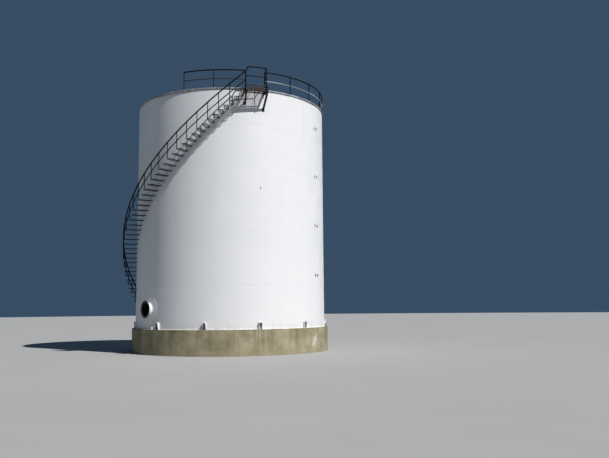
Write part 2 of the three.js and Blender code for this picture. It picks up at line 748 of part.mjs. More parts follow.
// Railing round the outer side and the far side, open to the stair and to the roof. Its top rail
// rises steeply from the end of the stair's rail, then turns level.
function platformRailing() {
  const left = PLATFORM_POST_LEFT;
  const right = PLATFORM_POST_RIGHT;
  const innerRadius = CURB_OUTER + 2 * PIPE_RADIUS;
  const innerAngle = PLATFORM_TO + THREE.MathUtils.radToDeg((PIPE_RADIUS + GAP) / innerRadius);
  const base = PLATFORM_TOP - PLATFORM_SKIRT;
  const top = PLATFORM_TOP + PLATFORM_RAIL_HEIGHT;
  const middle = PLATFORM_TOP + PLATFORM_MID_RAIL_HEIGHT;
  const stairRailEnd = nosingHeight(left) + STAIR_RAIL_HEIGHT;
  const levelFrom = left + THREE.MathUtils.radToDeg(PLATFORM_RAIL_RISE_RUN / POST_RADIUS);
  return union([
    post(POST_RADIUS, left, base, stairRailEnd + TOP_RAIL_RADIUS),
    post(POST_RADIUS, right, base, top),
    post(innerRadius, innerAngle, base, top),
    curvedPipe(POST_RADIUS, left, levelFrom, stairRailEnd, top, TOP_RAIL_RADIUS),
    curvedPipe(POST_RADIUS, levelFrom, right, top, top, TOP_RAIL_RADIUS),
    straightPipe(polar(innerRadius, innerAngle, top), polar(POST_RADIUS, right, top), TOP_RAIL_RADIUS),
    curvedPipe(POST_RADIUS, left, right, middle, middle),
    straightPipe(polar(innerRadius, innerAngle, middle), polar(POST_RADIUS, right, middle)),
  ]);
}

// Two rails on posts that stand on the curb angle
function roofRailing({ from, posts, spacing }) {
  const to = from + (posts - 1) * spacing;
  const pieces = [];
  const rails = [
    [CURB_TOP + ROOF_RAIL_HEIGHT, TOP_RAIL_RADIUS],
    [CURB_TOP + ROOF_RAIL_HEIGHT / 2, PIPE_RADIUS],
  ];
  for (const [height, pipeRadius] of rails) {
    pieces.push(curvedPipe(ROOF_RAIL_RADIUS, from, to, height, height, pipeRadius));
  }
  for (let index = 0; index < posts; index += 1) {
    const angle = from + index * spacing;
    pieces.push(post(ROOF_RAIL_RADIUS, angle, CURB_TOP, CURB_TOP + ROOF_RAIL_HEIGHT));
  }
  return union(pieces);
}

function addRoofRailings() {
  const group = addGroup();
  addPiece(group, 'roof_railing_left', roofRailing(ROOF_RAIL_LEFT), RAIL_PAINT);
  addPiece(group, 'roof_railing_right', roofRailing(ROOF_RAIL_RIGHT), RAIL_PAINT);
}

addFoundation();
addShell();
addRoof();
addManway();
addAnchorChairs();
addClips();
addStair();
addPlatform();
addRoofRailings();

export default tank;
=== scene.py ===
# Looks of the vertical storage tank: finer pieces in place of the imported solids, procedural
# materials, a pale floor, studio light and the camera of the photograph. Metres, +Z up. Angles
# are in degrees round the tank's axis, counter-clockwise from above, with the manway at 0.
import itertools
import json
import math
import random

import bmesh
import bpy
from mathutils import Matrix, Vector


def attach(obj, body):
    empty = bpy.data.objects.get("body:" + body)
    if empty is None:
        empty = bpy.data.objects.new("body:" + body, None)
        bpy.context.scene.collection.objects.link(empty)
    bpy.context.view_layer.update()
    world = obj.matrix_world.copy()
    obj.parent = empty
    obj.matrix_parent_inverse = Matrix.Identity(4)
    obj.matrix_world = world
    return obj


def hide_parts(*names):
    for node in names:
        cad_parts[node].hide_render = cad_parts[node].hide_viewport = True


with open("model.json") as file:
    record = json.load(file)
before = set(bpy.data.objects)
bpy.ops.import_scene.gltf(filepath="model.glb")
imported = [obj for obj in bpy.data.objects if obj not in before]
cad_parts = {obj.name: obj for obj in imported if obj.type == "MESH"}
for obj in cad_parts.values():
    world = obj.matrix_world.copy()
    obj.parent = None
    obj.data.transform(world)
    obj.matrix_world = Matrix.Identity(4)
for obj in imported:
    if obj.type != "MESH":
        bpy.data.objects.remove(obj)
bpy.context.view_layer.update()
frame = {"nodes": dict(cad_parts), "record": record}

# Foundation and shell
RING_HEIGHT = 1.15
RING_OUTER = 4.894
RING_INNER = 4.55
SHELL_RADIUS = 4.725
SHELL_INNER = 4.717
COURSE_COUNT = 6
COURSE_HEIGHT = 1.829
BOTTOM_RADIUS = 4.796
SHELL_BASE = 1.158
SHELL_TOP = SHELL_BASE + COURSE_COUNT * COURSE_HEIGHT
CURB_TOP = SHELL_TOP + 0.008
CURB_INNER = 4.69
CURB_OUTER = 4.763
CURB_DROP = 0.055
CURB_THICKNESS = 0.008
RIM_FOOT = CURB_TOP - CURB_DROP
ROOF_SLOPE = 1 / 6
ROOF_LAND = 4.69
ROOF_EDGE = 4.699
ROOF_THICKNESS = 0.006

# Shell manway
MANWAY_HEIGHT = 2.07
BORE_RADIUS = 0.305
NECK_RADIUS = 0.317
FLANGE_RADIUS = 0.41
FLANGE_FACE = 4.935
PAD_RADIUS = 0.62
NECK_ROOM = 0.0005

# Where the cutters of the manway's hole and of the bolt holes start and end on the y axis
SHELL_CUT = (-5.2, -4.2)
FLANGE_CUT = (-5.1, -4.88)

# Stair and platform
PLATFORM_FROM = 59.6
PLATFORM_TO = 71.4
PLATFORM_MIDDLE = (PLATFORM_FROM + PLATFORM_TO) / 2
PLATFORM_TOP = RING_HEIGHT + 10.83
PLATFORM_RADIUS = 5.362
FRAME_DEPTH = 0.12
PLATFORM_BASE = PLATFORM_TOP - FRAME_DEPTH
RISERS = 57
TREAD_COUNT = RISERS - 1
TREAD_ANGLE = 2.61
TREAD_RISE = PLATFORM_TOP / RISERS
TREAD_RUN = 0.23
TREAD_DEPTH = 0.03
FLIGHTS = 4
STRINGER_TREADS = 9

# Railings
RAIL_CIRCLE = 5.3835
TOP_RAIL = 0.0295
MID_RAIL = 0.021
THIN_POST = 0.018
MIDDLE_POST = 0.0235
STOUT_POST = 0.027
STAIR_RAIL_HEIGHT = 0.722
STAIR_MID_RAIL_HEIGHT = 0.312
STAIR_POST_BACK = 0.085
POST_INSET = 0.2585
RIGHT_POST_INSET = 5 * POST_INSET
PLATFORM_RAIL_HEIGHT = 0.96
PLATFORM_MID_RAIL_HEIGHT = 0.53
PLATFORM_RAIL_RISE_RUN = 0.11
INNER_POST_CIRCLE = 4.813
INNER_POST_ALONG = 0.0243
ROOF_RAIL_CIRCLE = 4.727
ROOF_RAIL_HEIGHT = 0.84

# Fineness of the meshes, and how near corners are to be one corner or to lie on a face
ROUND_STEPS = 288
SAME_SPOT = 1e-6
SAME_FACE = 0.0005


def shifted(x=0.0, y=0.0, z=0.0):
    return Matrix.Translation((x, y, z))


def polar(radius, degrees, height=0.0):
    turn = math.radians(degrees)
    return Vector((radius * math.sin(turn), -radius * math.cos(turn), height))


def standing_at(degrees, radius=0.0, height=0.0):
    """Frame at a place round the tank: x goes round it, -y points away from it."""
    return Matrix.Rotation(math.radians(degrees), 4, "Z") @ shifted(0, -radius, height)


def spread(start, end, count):
    """Values from start to end in even steps, with both ends."""
    return [start + (end - start) * index / count for index in range(count + 1)]


def turns(count, shift=0.0):
    """Evenly spaced turns all the way round, in radians."""
    return [2 * math.pi * (index + shift) / count for index in range(count)]


def ring_about(centre, radius, aside, across, sides):
    return [centre + radius * (math.cos(turn) * aside + math.sin(turn) * across) for turn in turns(sides)]


def rounded(first, corner, last, steps=5):
    """Points on a bend from one point to another that rounds off the corner between them."""
    return [first.lerp(corner, share).lerp(corner.lerp(last, share), share) for share in spread(0, 1, steps)]


def oblong(inner, outer, low, high):
    """Upright rectangle of (radius, height) corners."""
    return [(inner, low), (outer, low), (outer, high), (inner, high)]


def section_at(radius, height, steps):
    """Corners given by their (outward, upward) steps from a place, as (radius, height)."""
    return [(radius + outward, height + upward) for outward, upward in steps]


# Share of the width and of the height at each ring of a nut
NUT_RINGS = ((0.93, 0), (1, 0.12), (1, 0.86), (0.93, 1))


class Form:
    """Corners and faces of a piece before it becomes an object."""

    def __init__(self):
        self.corners = []
        self.faces = []
        self.finishes = []

    def add(self, corners, faces, place=None, finish=0):
        offset = len(self.corners)
        for corner in corners:
            point = Vector(corner)
            self.corners.append(place @ point if place else point)
        for face in faces:
            self.faces.append([offset + index for index in face])
            self.finishes.append(finish)

    def box(self, low, high, place=None, finish=0):
        faces = [(0, 1, 3, 2), (4, 6, 7, 5), (0, 4, 5, 1), (2, 3, 7, 6), (0, 2, 6, 4), (1, 5, 7, 3)]
        self.add(itertools.product(*zip(low, high)), faces, place, finish)

    def sections(self, rings, place=None, finish=0, closed=False):
        """Closed surface through rings of corners, capped at its ends or joined end to end."""
        size = len(rings[0])
        faces = []
        for span in range(len(rings) if closed else len(rings) - 1):
            here = span * size
            there = ((span + 1) % len(rings)) * size
            for index in range(size):
                after = (index + 1) % size
                faces.append((here + index, here + after, there + after, there + index))
        if not closed:
            faces.append(tuple(reversed(range(size))))
            faces.append(tuple(range((len(rings) - 1) * size, len(rings) * size)))
        self.add(itertools.chain(*rings), faces, place, finish)

    def lathe(self, profile, steps=ROUND_STEPS, place=None, finish=0):
        """Closed profile of (radius, height) corners turned round the z axis."""
        rings = []
        for degrees in spread(0, 360, steps)[:-1]:
            rings.append([polar(radius, degrees, height) for radius, height in profile])
        self.sections(rings, place, finish, closed=True)

    def rod(self, start, end, radius, sides=12, finish=0, place=None):
        start = Vector(start)
        end = Vector(end)
        along = (end - start).normalized()
        aside = along.orthogonal().normalized()
        across = along.cross(aside)
        rings = [ring_about(point, radius, aside, across, sides) for point in (start, end)]
        self.sections(rings, place, finish)

    def pipe(self, points, radius, sides=14, finish=0):
        """Round pipe through points, with its ring of corners square to the run at each one."""
        rings = []
        for index, point in enumerate(points):
            before = points[max(index - 1, 0)]
            after = points[min(index + 1, len(points) - 1)]
            along = (after - before).normalized()
            aside = along.cross(Vector((0, 0, 1))).normalized()
            rings.append(ring_about(point, radius, aside, aside.cross(along), sides))
        self.sections(rings, None, finish)

    def nut(self, place, width, height, finish=0):
        reach = width / 2 / math.cos(math.pi / 6)
        spots = [(reach * math.cos(turn), reach * math.sin(turn)) for turn in turns(6)]
        rings = [[(x * share, y * share, height * level) for x, y in spots] for share, level in NUT_RINGS]
        self.sections(rings, place, finish)


def mesh_of(form, name):
    """Mesh of a form, with corners at one spot joined and every face turned outward."""
    mesh = bpy.data.meshes.new(name)
    mesh.from_pydata([tuple(corner) for corner in form.corners], [], form.faces)
    for polygon, finish in zip(mesh.polygons, form.finishes):
        polygon.material_index = finish
    shape = bmesh.new()
    shape.from_mesh(mesh)
    bmesh.ops.remove_doubles(shape, verts=shape.verts, dist=SAME_SPOT)
    bmesh.ops.recalc_face_normals(shape, faces=shape.faces)
    shape.to_mesh(mesh)
    shape.free()
    return mesh


def add_object(name, data):
    holder = bpy.data.objects.new(name, data)
    bpy.context.scene.collection.objects.link(holder)
    return holder


def finished_mesh(holder):
    """New mesh, as an object's modifiers leave it."""
    bpy.context.view_layer.update()
    evaluated = holder.evaluated_get(bpy.context.evaluated_depsgraph_get())
    return bpy.data.meshes.new_from_object(evaluated)


def make(name, form, slot, replaced=(), bevel=0.0, sharp=35, looks=None):
    """Object from a form, riding on the tank and standing for the solids that it replaces."""
    mesh = mesh_of(form, name)
    piece = add_object(name, mesh)
    for look in looks or [slot]:
        mesh.materials.append(MATERIALS[look])
    if bevel:
        modifier = piece.modifiers.new("edges", "BEVEL")
        modifier.width = bevel
        modifier.segments = 2
        modifier.limit_method = "ANGLE"
        modifier.angle_limit = math.radians(50)
        piece.data = finished_mesh(piece)
        piece.modifiers.clear()
        piece.data.name = mesh.name + "_made"
        bpy.data.meshes.remove(mesh)
    piece.data.shade_smooth()
    piece.data.set_sharp_from_angle(angle=math.radians(sharp))
    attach(piece, "root")
    if replaced:
        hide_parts(*replaced)


def cut(form, cutter):
    """Form with the cutter's room taken out of it."""
    body, tool = [add_object("working", mesh_of(part, "working")) for part in (form, cutter)]
    modifier = body.modifiers.new("cut", "BOOLEAN")
    modifier.operation = "DIFFERENCE"
    modifier.solver = "EXACT"
    modifier.object = tool
    result = finished_mesh(body)
    made = Form()
    made.add([vertex.co.copy() for vertex in result.vertices], [list(p.vertices) for p in result.polygons])
    for holder in (body, tool):
        mesh = holder.data
        bpy.data.objects.remove(holder)
        bpy.data.meshes.remove(mesh)
    bpy.data.meshes.remove(result)
    return made


# Materials


class Look:
    """A material with its shader, and short ways to add nodes to it."""

    def __init__(self, name, roughness, metallic=0.0, specular=0.5):
        self.material = bpy.data.materials.new(name)
        self.material.use_nodes = True
        tree = self.material.node_tree
        self.nodes = tree.nodes
        self.links = tree.links
        self.shader = self.nodes["Principled BSDF"]
        self.feed(self.shader, {"Roughness": roughness, "Metallic": metallic, "Specular IOR Level": specular})
        self.place = self.nodes.new("ShaderNodeTexCoord").outputs["Object"]

    def feed(self, node, inputs):
        """Sets a node's inputs to values, or links them where they come from another node."""
        for name, value in inputs.items():
            if isinstance(value, bpy.types.NodeSocket):
                self.links.new(value, node.inputs[name])
            else:
                node.inputs[name].default_value = value

    def node(self, kind, inputs, **settings):
        node = self.nodes.new(f"ShaderNode{kind}")
        for name, value in settings.items():
            setattr(node, name, value)
        self.feed(node, inputs)
        return node

    def scaled(self, scale):
        return self.node("Mapping", {"Scale": scale, "Vector": self.place}).outputs["Vector"]

    def noise(self, scale, detail, stretch=(1, 1, 1), roughness=0.55):
        inputs = {"Scale": scale, "Detail": detail, "Roughness": roughness, "Vector": self.scaled(stretch)}
        return self.node("TexNoise", inputs).outputs["Fac"]

    def cells(self, scale):
        return self.node("TexVoronoi", {"Scale": scale, "Vector": self.place}).outputs["Distance"]

    def span(self, value, low, high, first=0.0, last=1.0):
        """Goes softly from first to last as a value goes from low to high."""
        inputs = {"Value": value, "From Min": low, "From Max": high, "To Min": first, "To Max": last}
        return self.node("MapRange", inputs, interpolation_type="SMOOTHSTEP").outputs["Result"]

    def height(self, low, high, first=0.0, last=1.0):
        """Goes softly from first to last as the height goes from low to high."""
        level = self.node("SeparateXYZ", {"Vector": self.place}).outputs["Z"]
        return self.span(level, low, high, first, last)

    def math(self, operation, first, second):
        return self.node("Math", {0: first, 1: second}, operation=operation).outputs["Value"]

    def mix(self, amount, first, second):
        """From the first colour to the second, each a tuple or another node's output."""
        first, second = [(*value, 1) if isinstance(value, tuple) else value for value in (first, second)]
        inputs = {"Factor": amount, "A": first, "B": second}
        return self.node("Mix", inputs, data_type="RGBA").outputs["Result"]

    def stain(self, under, colour, pattern, low, high, most):
        """Colour over another, from none where a pattern is low to the most where it is high."""
        return self.mix(self.span(pattern, low, high, 0.0, most), under, colour)

    def mark(self, degrees, height, lean, width, length):
        """Soft oval mark at an angle round the ring, with its top leaning over to the right."""
        inputs = {
            "Location": polar(RING_OUTER, degrees, height), "Scale": (width / 2, 1.0, length / 2),
            "Rotation": (0, math.radians(lean), math.radians(degrees)), "Vector": self.place,
        }
        spot = self.node("Mapping", inputs, vector_type="TEXTURE").outputs["Vector"]
        distance = self.node("VectorMath", {0: spot}, operation="LENGTH").outputs["Value"]
        return self.span(distance, 0.2, 1.0, 1.0, 0.0)

    def colour(self, value):
        self.feed(self.shader, {"Base Color": value})

    def rough(self, scale, detail, low, high):
        """Roughness that wavers between two values."""
        self.feed(self.shader, {"Roughness": self.span(self.noise(scale, detail), 0.3, 0.7, low, high)})

    def bump(self, *layers):
        """Relief from (value, depth in metres) layers."""
        node = None
        for value, depth in layers:
            under = {"Normal": node.outputs["Normal"]} if node else {}
            node = self.node("Bump", {"Strength": 1.0, "Distance": depth, "Height": value, **under})
        self.feed(self.shader, {"Normal": node.outputs["Normal"]})


# Colours
CLEAN_WHITE = (0.80, 0.80, 0.80)
COOL_WHITE = (0.75, 0.755, 0.765)
PAINT_DUST = (0.60, 0.57, 0.50)
PAINT_SPECKS = (0.50, 0.45, 0.38)
SPLASHED_SOIL = (0.56, 0.50, 0.40)
SHADE_AND_RUST_UNDER_RIM = (0.31, 0.28, 0.28)
RIM_PALE = (0.50, 0.54, 0.58)
RIM_DARK = (0.27, 0.28, 0.31)
RIM_STAIN = (0.15, 0.11, 0.105)
RAIL_BLUE = (0.005, 0.006, 0.009)
RAIL_BLACK = (0.010, 0.009, 0.012)
RAIL_CHIPS = (0.055, 0.024, 0.017)
RAIL_DUST = (0.09, 0.085, 0.08)
ZINC_PALE = (0.18, 0.185, 0.19)
ZINC_DARK = (0.12, 0.125, 0.13)
ZINC_SPANGLE = (0.25, 0.26, 0.27)
ZINC_RUST = (0.16, 0.09, 0.055)
PRIMER_RED = (0.034, 0.022, 0.023)
PRIMER_DARK = (0.024, 0.021, 0.026)
PRIMER_DUST = (0.13, 0.11, 0.10)
STEEL_PALE = (0.060, 0.056, 0.056)
STEEL_DARK = (0.035, 0.033, 0.034)
STEEL_RUST = (0.075, 0.036, 0.022)
INNER_DARK = (0.026, 0.024, 0.024)
INNER_BROWN = (0.042, 0.033, 0.028)
INNER_RUST = (0.075, 0.040, 0.024)
CONCRETE_PALE = (0.43, 0.385, 0.275)
CONCRETE_DARK = (0.28, 0.25, 0.155)
CONCRETE_GRAIN = (0.24, 0.21, 0.15)
CONCRETE_DAMP_AND_TOP_EDGE = (0.17, 0.145, 0.085)
CONCRETE_SALT = (0.52, 0.49, 0.41)
CONCRETE_SOIL = (0.37, 0.31, 0.22)
CONCRETE_PALE_PATCH = (0.60, 0.59, 0.52)
FILL_SAND = (0.27, 0.21, 0.14)
FILL_DARK = (0.19, 0.15, 0.10)
FILL_GRAVEL = (0.33, 0.28, 0.21)
FLOOR_DARK = (0.40, 0.395, 0.385)
FLOOR_PALE = (0.44, 0.435, 0.425)


def white_paint():
    look = Look("white_paint_look", 0.42)
    tone = look.mix(look.noise(0.6, 3), CLEAN_WHITE, COOL_WHITE)
    dusty = look.stain(tone, PAINT_DUST, look.noise(2.2, 5, (1.6, 1.6, 0.07), 0.6), 0.56, 0.80, 0.22)
    marked = look.stain(dusty, PAINT_SPECKS, look.noise(26, 3), 0.70, 0.78, 0.4)
    near_foot = look.height(1.16, 1.5, 0.4, 0.0)
    splash = look.math("MULTIPLY", near_foot, look.span(look.noise(3.5, 5), 0.35, 0.7))
    dusted = look.mix(splash, marked, SPLASHED_SOIL)
    # Band just under the rim: painted shade below the rim's overhang, with some rust, in streaks
    to_rim = look.height(RIM_FOOT - 0.11, RIM_FOOT - 0.01)
    under_rim = look.math("MULTIPLY", to_rim, look.height(RIM_FOOT, CURB_TOP, 1, 0))
    runs = look.span(look.noise(3, 6, (1, 1, 0.4), 0.65), 0.32, 0.62, 0.1, 0.8)
    look.colour(look.mix(look.math("MULTIPLY", under_rim, runs), dusted, SHADE_AND_RUST_UNDER_RIM))
    look.rough(1.7, 4, 0.34, 0.55)
    look.bump((look.noise(9, 3), 0.0015), (look.noise(160, 2), 0.0003))
    return look.material


def rim_paint():
    look = Look("rim_paint_look", 0.55)
    tone = look.mix(look.span(look.noise(1.6, 5), 0.35, 0.65), RIM_PALE, RIM_DARK)
    darkened = look.span(look.noise(7, 6, (1, 1, 0.25), 0.65), 0.42, 0.66, 0.0, 0.75)
    foot = look.math("MULTIPLY", darkened, look.height(RIM_FOOT, CURB_TOP, 1.0, 0.35))
    look.colour(look.mix(foot, tone, RIM_STAIN))
    look.rough(12, 4, 0.45, 0.7)
    look.bump((look.noise(60, 3), 0.0006), (look.noise(9, 3), 0.0012))
    return look.material


def rail_paint():
    look = Look("rail_paint_look", 0.5, specular=0.15)
    tone = look.mix(look.noise(7, 4), RAIL_BLUE, RAIL_BLACK)
    chips = look.span(look.noise(38, 4), 0.66, 0.7, 0.0, 0.8)
    worn = look.mix(chips, tone, RAIL_CHIPS)
    look.colour(look.stain(worn, RAIL_DUST, look.noise(3, 5), 0.5, 0.75, 0.10))
    look.rough(20, 3, 0.42, 0.6)
    look.bump((look.noise(120, 3), 0.0004), (chips, 0.0003))
    return look.material


def stair_steel():
    look = Look("stair_steel_look", 0.5, 0.15)
    tone = look.mix(look.noise(9, 5), ZINC_PALE, ZINC_DARK)
    spangle = look.stain(tone, ZINC_SPANGLE, look.cells(60), 0.1, 0.6, 0.4)
    look.colour(look.stain(spangle, ZINC_RUST, look.noise(17, 5), 0.64, 0.78, 0.6))
    look.rough(30, 3, 0.42, 0.7)
    look.bump((look.noise(90, 4), 0.0005))
    return look.material


def primer():
    look = Look("primer_look", 0.62)
    tone = look.mix(look.noise(6, 5), PRIMER_RED, PRIMER_DARK)
    look.colour(look.stain(tone, PRIMER_DUST, look.noise(4, 5, (1, 1, 0.4)), 0.5, 0.72, 0.2))
    look.rough(24, 3, 0.52, 0.78)
    look.bump((look.noise(110, 3), 0.0004), (look.noise(14, 3), 0.0008))
    return look.material


def bare_steel():
    look = Look("bare_steel_look", 0.5, 0.4)
    tone = look.mix(look.noise(22, 5), STEEL_PALE, STEEL_DARK)
    look.colour(look.stain(tone, STEEL_RUST, look.noise(34, 5), 0.55, 0.7, 0.7))
    look.rough(40, 3, 0.35, 0.65)
    look.bump((look.noise(140, 3), 0.0004))
    return look.material


def inner_steel():
    look = Look("inner_steel_look", 0.75, 0.1, specular=0.3)
    tone = look.mix(look.noise(1.3, 5), INNER_DARK, INNER_BROWN)
    look.colour(look.stain(tone, INNER_RUST, look.noise(2.6, 5, (1.5, 1.5, 0.1)), 0.5, 0.72, 0.6))
    look.rough(8, 3, 0.6, 0.85)
    look.bump((look.noise(40, 4), 0.0012))
    return look.material


def concrete():
    look = Look("concrete_look", 0.88, specular=0.3)
    blotches = look.span(look.noise(0.9, 6, (1, 1, 1.3), 0.6), 0.36, 0.64)
    tone = look.mix(blotches, CONCRETE_PALE, CONCRETE_DARK)
    grain = look.stain(tone, CONCRETE_GRAIN, look.noise(34, 6), 0.35, 0.7, 0.3)
    runs = look.span(look.noise(1.6, 6, (2.4, 2.4, 0.22), 0.66), 0.46, 0.68, 0.0, 0.62)
    damp = look.math("MULTIPLY", runs, look.height(0.1, 1.15, 0.5, 1.0))
    # Darker band in patches along the ring's top edge
    near_top = look.height(1.07, 1.14, 0.0, 0.55)
    rim = look.math("MULTIPLY", near_top, look.span(look.noise(2.5, 5), 0.3, 0.6))
    darkened = look.mix(look.math("MAXIMUM", damp, rim), grain, CONCRETE_DAMP_AND_TOP_EDGE)
    pale = look.stain(darkened, CONCRETE_SALT, look.noise(2.3, 6, (1.4, 1.4, 0.5), 0.6), 0.62, 0.76, 0.45)
    near_ground = look.height(0.0, 0.34, 0.8, 0.0)
    soil = look.math("MULTIPLY", near_ground, look.span(look.noise(5, 5), 0.3, 0.62))
    dirty = look.mix(soil, pale, CONCRETE_SOIL)
    # Pale oval patch on the ring's face, its top leaning over to the right
    mark = look.mark(degrees=106.7, height=0.56, lean=38, width=0.42, length=1.0)
    pale_patch = look.math("MULTIPLY", mark, look.span(look.noise(7, 4), 0.3, 0.55, 0.3, 0.85))
    look.colour(look.mix(pale_patch, dirty, CONCRETE_PALE_PATCH))
    look.rough(12, 4, 0.78, 0.96)
    pores = look.span(look.cells(46), 0.0, 0.16)
    look.bump((look.noise(3.0, 4), 0.004), (look.noise(70, 5), 0.0016), (pores, 0.0012))
    return look.material


def packed_fill():
    look = Look("packed_fill_look", 0.97, specular=0.2)
    tone = look.mix(look.noise(2.5, 6), FILL_SAND, FILL_DARK)
    look.colour(look.stain(tone, FILL_GRAVEL, look.cells(60), 0.0, 0.5, 1.0))
    look.rough(20, 3, 0.9, 1.0)
    look.bump((look.cells(70), 0.004), (look.noise(200, 3), 0.002))
    return look.material


MAKERS = (
    white_paint, rim_paint, rail_paint, stair_steel, primer, bare_steel, inner_steel, concrete, packed_fill,
)
MATERIALS = {maker.__name__: maker() for maker in MAKERS}

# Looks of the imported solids, which show where no finer piece replaces them
for subpart in frame["record"]["subparts"]:
    data = frame["nodes"][subpart["node"]].data
    data.materials.clear()
    data.materials.append(MATERIALS[subpart["material_slot"]])


# Camera, as fitted to the outlines in the photograph
CAMERA_DISTANCE = 35.671
CAMERA_HEIGHT = RING_HEIGHT + 1.002
CAMERA_AZIMUTH = 53.3
CAMERA_FORWARD = (0.10487, 0.98827, 0.11099)
CAMERA_RIGHT = (0.99448, -0.10455, -0.00872)
FOCAL_PIXELS = 691.74
PHOTO_WIDTH = 609


def add_camera():
    data = bpy.data.cameras.new("photo_camera")
    data.sensor_width = 36.0
    data.sensor_fit = "HORIZONTAL"
    data.lens = FOCAL_PIXELS * data.sensor_width / PHOTO_WIDTH
    data.clip_end = 400
    camera = add_object("photo_camera", data)
    forward = Vector(CAMERA_FORWARD).normalized()
    right = Vector(CAMERA_RIGHT).normalized()
    up = right.cross(forward)
    axes = Matrix((right, up, -forward)).transposed().to_4x4()
    camera.matrix_world = standing_at(CAMERA_AZIMUTH, CAMERA_DISTANCE, CAMERA_HEIGHT) @ axes
    bpy.context.scene.camera = camera


# Light
SUN_AZIMUTH = 97
SUN_ELEVATION = 48.2


def add_light():
    """Warm sun from the right, in a dim blue sky."""
    sun = bpy.data.lights.new("key", "SUN")
    sun.energy = 3.62
    sun.angle = math.radians(0.7)
    sun.color = (1.0, 0.985, 0.97)
    rise = math.radians(SUN_ELEVATION)
    towards = polar(math.cos(rise), SUN_AZIMUTH, math.sin(rise))
    add_object("key", sun).rotation_euler = towards.to_track_quat("Z", "Y").to_euler()
    world = bpy.data.worlds.new("studio")
    world.use_nodes = True
    background = world.node_tree.nodes["Background"]
    background.inputs["Color"].default_value = (0.34, 0.58, 0.90, 1)
    background.inputs["Strength"].default_value = 0.145
    bpy.context.scene.world = world
    bpy.context.scene.view_settings.view_transform = "Standard"
    bpy.context.scene.view_settings.look = "Medium High Contrast"


# Floor
FLOOR_RADIUS = 160
FLOOR_TOP = -0.004
FLOOR_UNDERSIDE = -0.4


def add_floor():
    """Round pale floor, a little below the tank's underside."""
    floor = Form()
    floor.lathe(oblong(0, FLOOR_RADIUS, FLOOR_TOP, FLOOR_UNDERSIDE), 96)
    mesh = mesh_of(floor, "floor")
    holder = add_object("floor", mesh)
    look = Look("floor_look", 0.9, specular=0.2)
    look.colour(look.mix(look.noise(0.3, 3), FLOOR_DARK, FLOOR_PALE))
    mesh.materials.append(look.material)


add_camera()
add_light()
add_floor()


# Foundation, cast between forms that leave a fin at each of their joints
FORM_WIDTH = 15
FIRST_JOINT = 4.0
FIN_SIDES = (0.02, 0.05, 0.16)
FACE_SINK = 0.0016
FACE_RIPPLE = 0.0008
RIPPLES_ROUND = 7
RIPPLES_UP = 3
FACE_ROWS = (0.0, 0.12, 0.37, 0.62, 0.87)
RING_ARRIS = ((0, -0.016), (-0.004, -0.006), (-0.016, -0.0005), (-0.06, 0))


def add_foundation():
    """Ring with a rounded rim and a slightly rippled outer face, with its fins standing out."""
    outer = [(RING_OUTER, height) for height in FACE_ROWS] + section_at(RING_OUTER, RING_HEIGHT, RING_ARRIS)
    profile = [(RING_INNER, 0.0), *outer, (RING_INNER, RING_HEIGHT)]
    angles = []
    for joint in range(360 // FORM_WIDTH):
        start = joint * FORM_WIDTH + FIRST_JOINT
        angles += [start + side * offset for side in (-1, 1) for offset in FIN_SIDES]
        angles += spread(start, start + FORM_WIDTH, 12)[1:-1]
    rings = []
    for degrees in sorted(angles):
        from_joint = (degrees - FIRST_JOINT) % FORM_WIDTH
        on_fin = min(from_joint, FORM_WIDTH - from_joint) < 0.03
        ring = []
        for radius, height in profile:
            ripple = FACE_RIPPLE * math.sin(math.radians(degrees) * RIPPLES_ROUND + height * RIPPLES_UP)
            sinks = radius > RING_OUTER - 0.05 and height > 0 and not on_fin
            ring.append(polar(radius - (FACE_SINK + ripple if sinks else 0.0), degrees, height))
        rings.append(ring)
    form = Form()
    form.sections(rings, closed=True)
    make("ring_concrete", form, "concrete", ["ring_foundation"], sharp=20)


add_foundation()


# Shell, with waves round it and shallow dents where its seams drew it in
random.seed(23)
WAVES = [
    (lobes, random.uniform(0.25, 1.6), random.uniform(0, 6.283), 1 / (1 + lobes / 12))
    for lobes in (3, 7, 12, 19, 31)
]
WAVE_TOTAL = sum(share for lobes, climb, phase, share in WAVES)
WAVE_DEPTH = 0.0035
SEAM_BEAD = 0.0022
SEAM_WIDTH = 0.007
SEAM_ANGLE = math.degrees(SEAM_WIDTH / SHELL_RADIUS)
PLATES_PER_COURSE = 5
FIRST_SEAM = 31
SEAM_SHIFT = 0.42
EDGE_ROWS = (0.0, 0.0025, 0.005, 0.008, 0.03, 0.08, 0.16, 0.3)
MIDDLE_ROWS = (0.28, 0.4, 0.5, 0.6, 0.72)

# Sections of the weld at the shell's foot, the curb angle and the weld under it
FOOT_WELD = ((-0.002, 0), (0.009, 0), (0.0055, 0.0055), (-0.002, 0.010))
CURB_FILLET = ((-0.006, 0), (-0.0018, -0.0018), (0, -0.006))
CURB_TOE = ((0, 0.003), (0.003, 0))
CURB_LOW_CORNER = ((-0.002, 0), (0, 0.002))
CURB_HIGH_CORNER = ((0, -0.0025), (-0.0025, 0))
CURB_WELD = ((-0.002, -0.007), (0.004, -0.0045), (0.007, 0), (-0.002, 0))


def seam_angles(course):
    spacing = 360 / PLATES_PER_COURSE
    first = course * spacing * SEAM_SHIFT
    return [(spacing * index + first + FIRST_SEAM) % 360 for index in range(PLATES_PER_COURSE)]


def angle_between(first, second):
    return abs((first - second + 180) % 360 - 180)


def ramp(distance, start, run):
    """0 up to a start, and 1 from a run beyond it."""
    return min(1.0, max(0.0, (distance - start) / run))


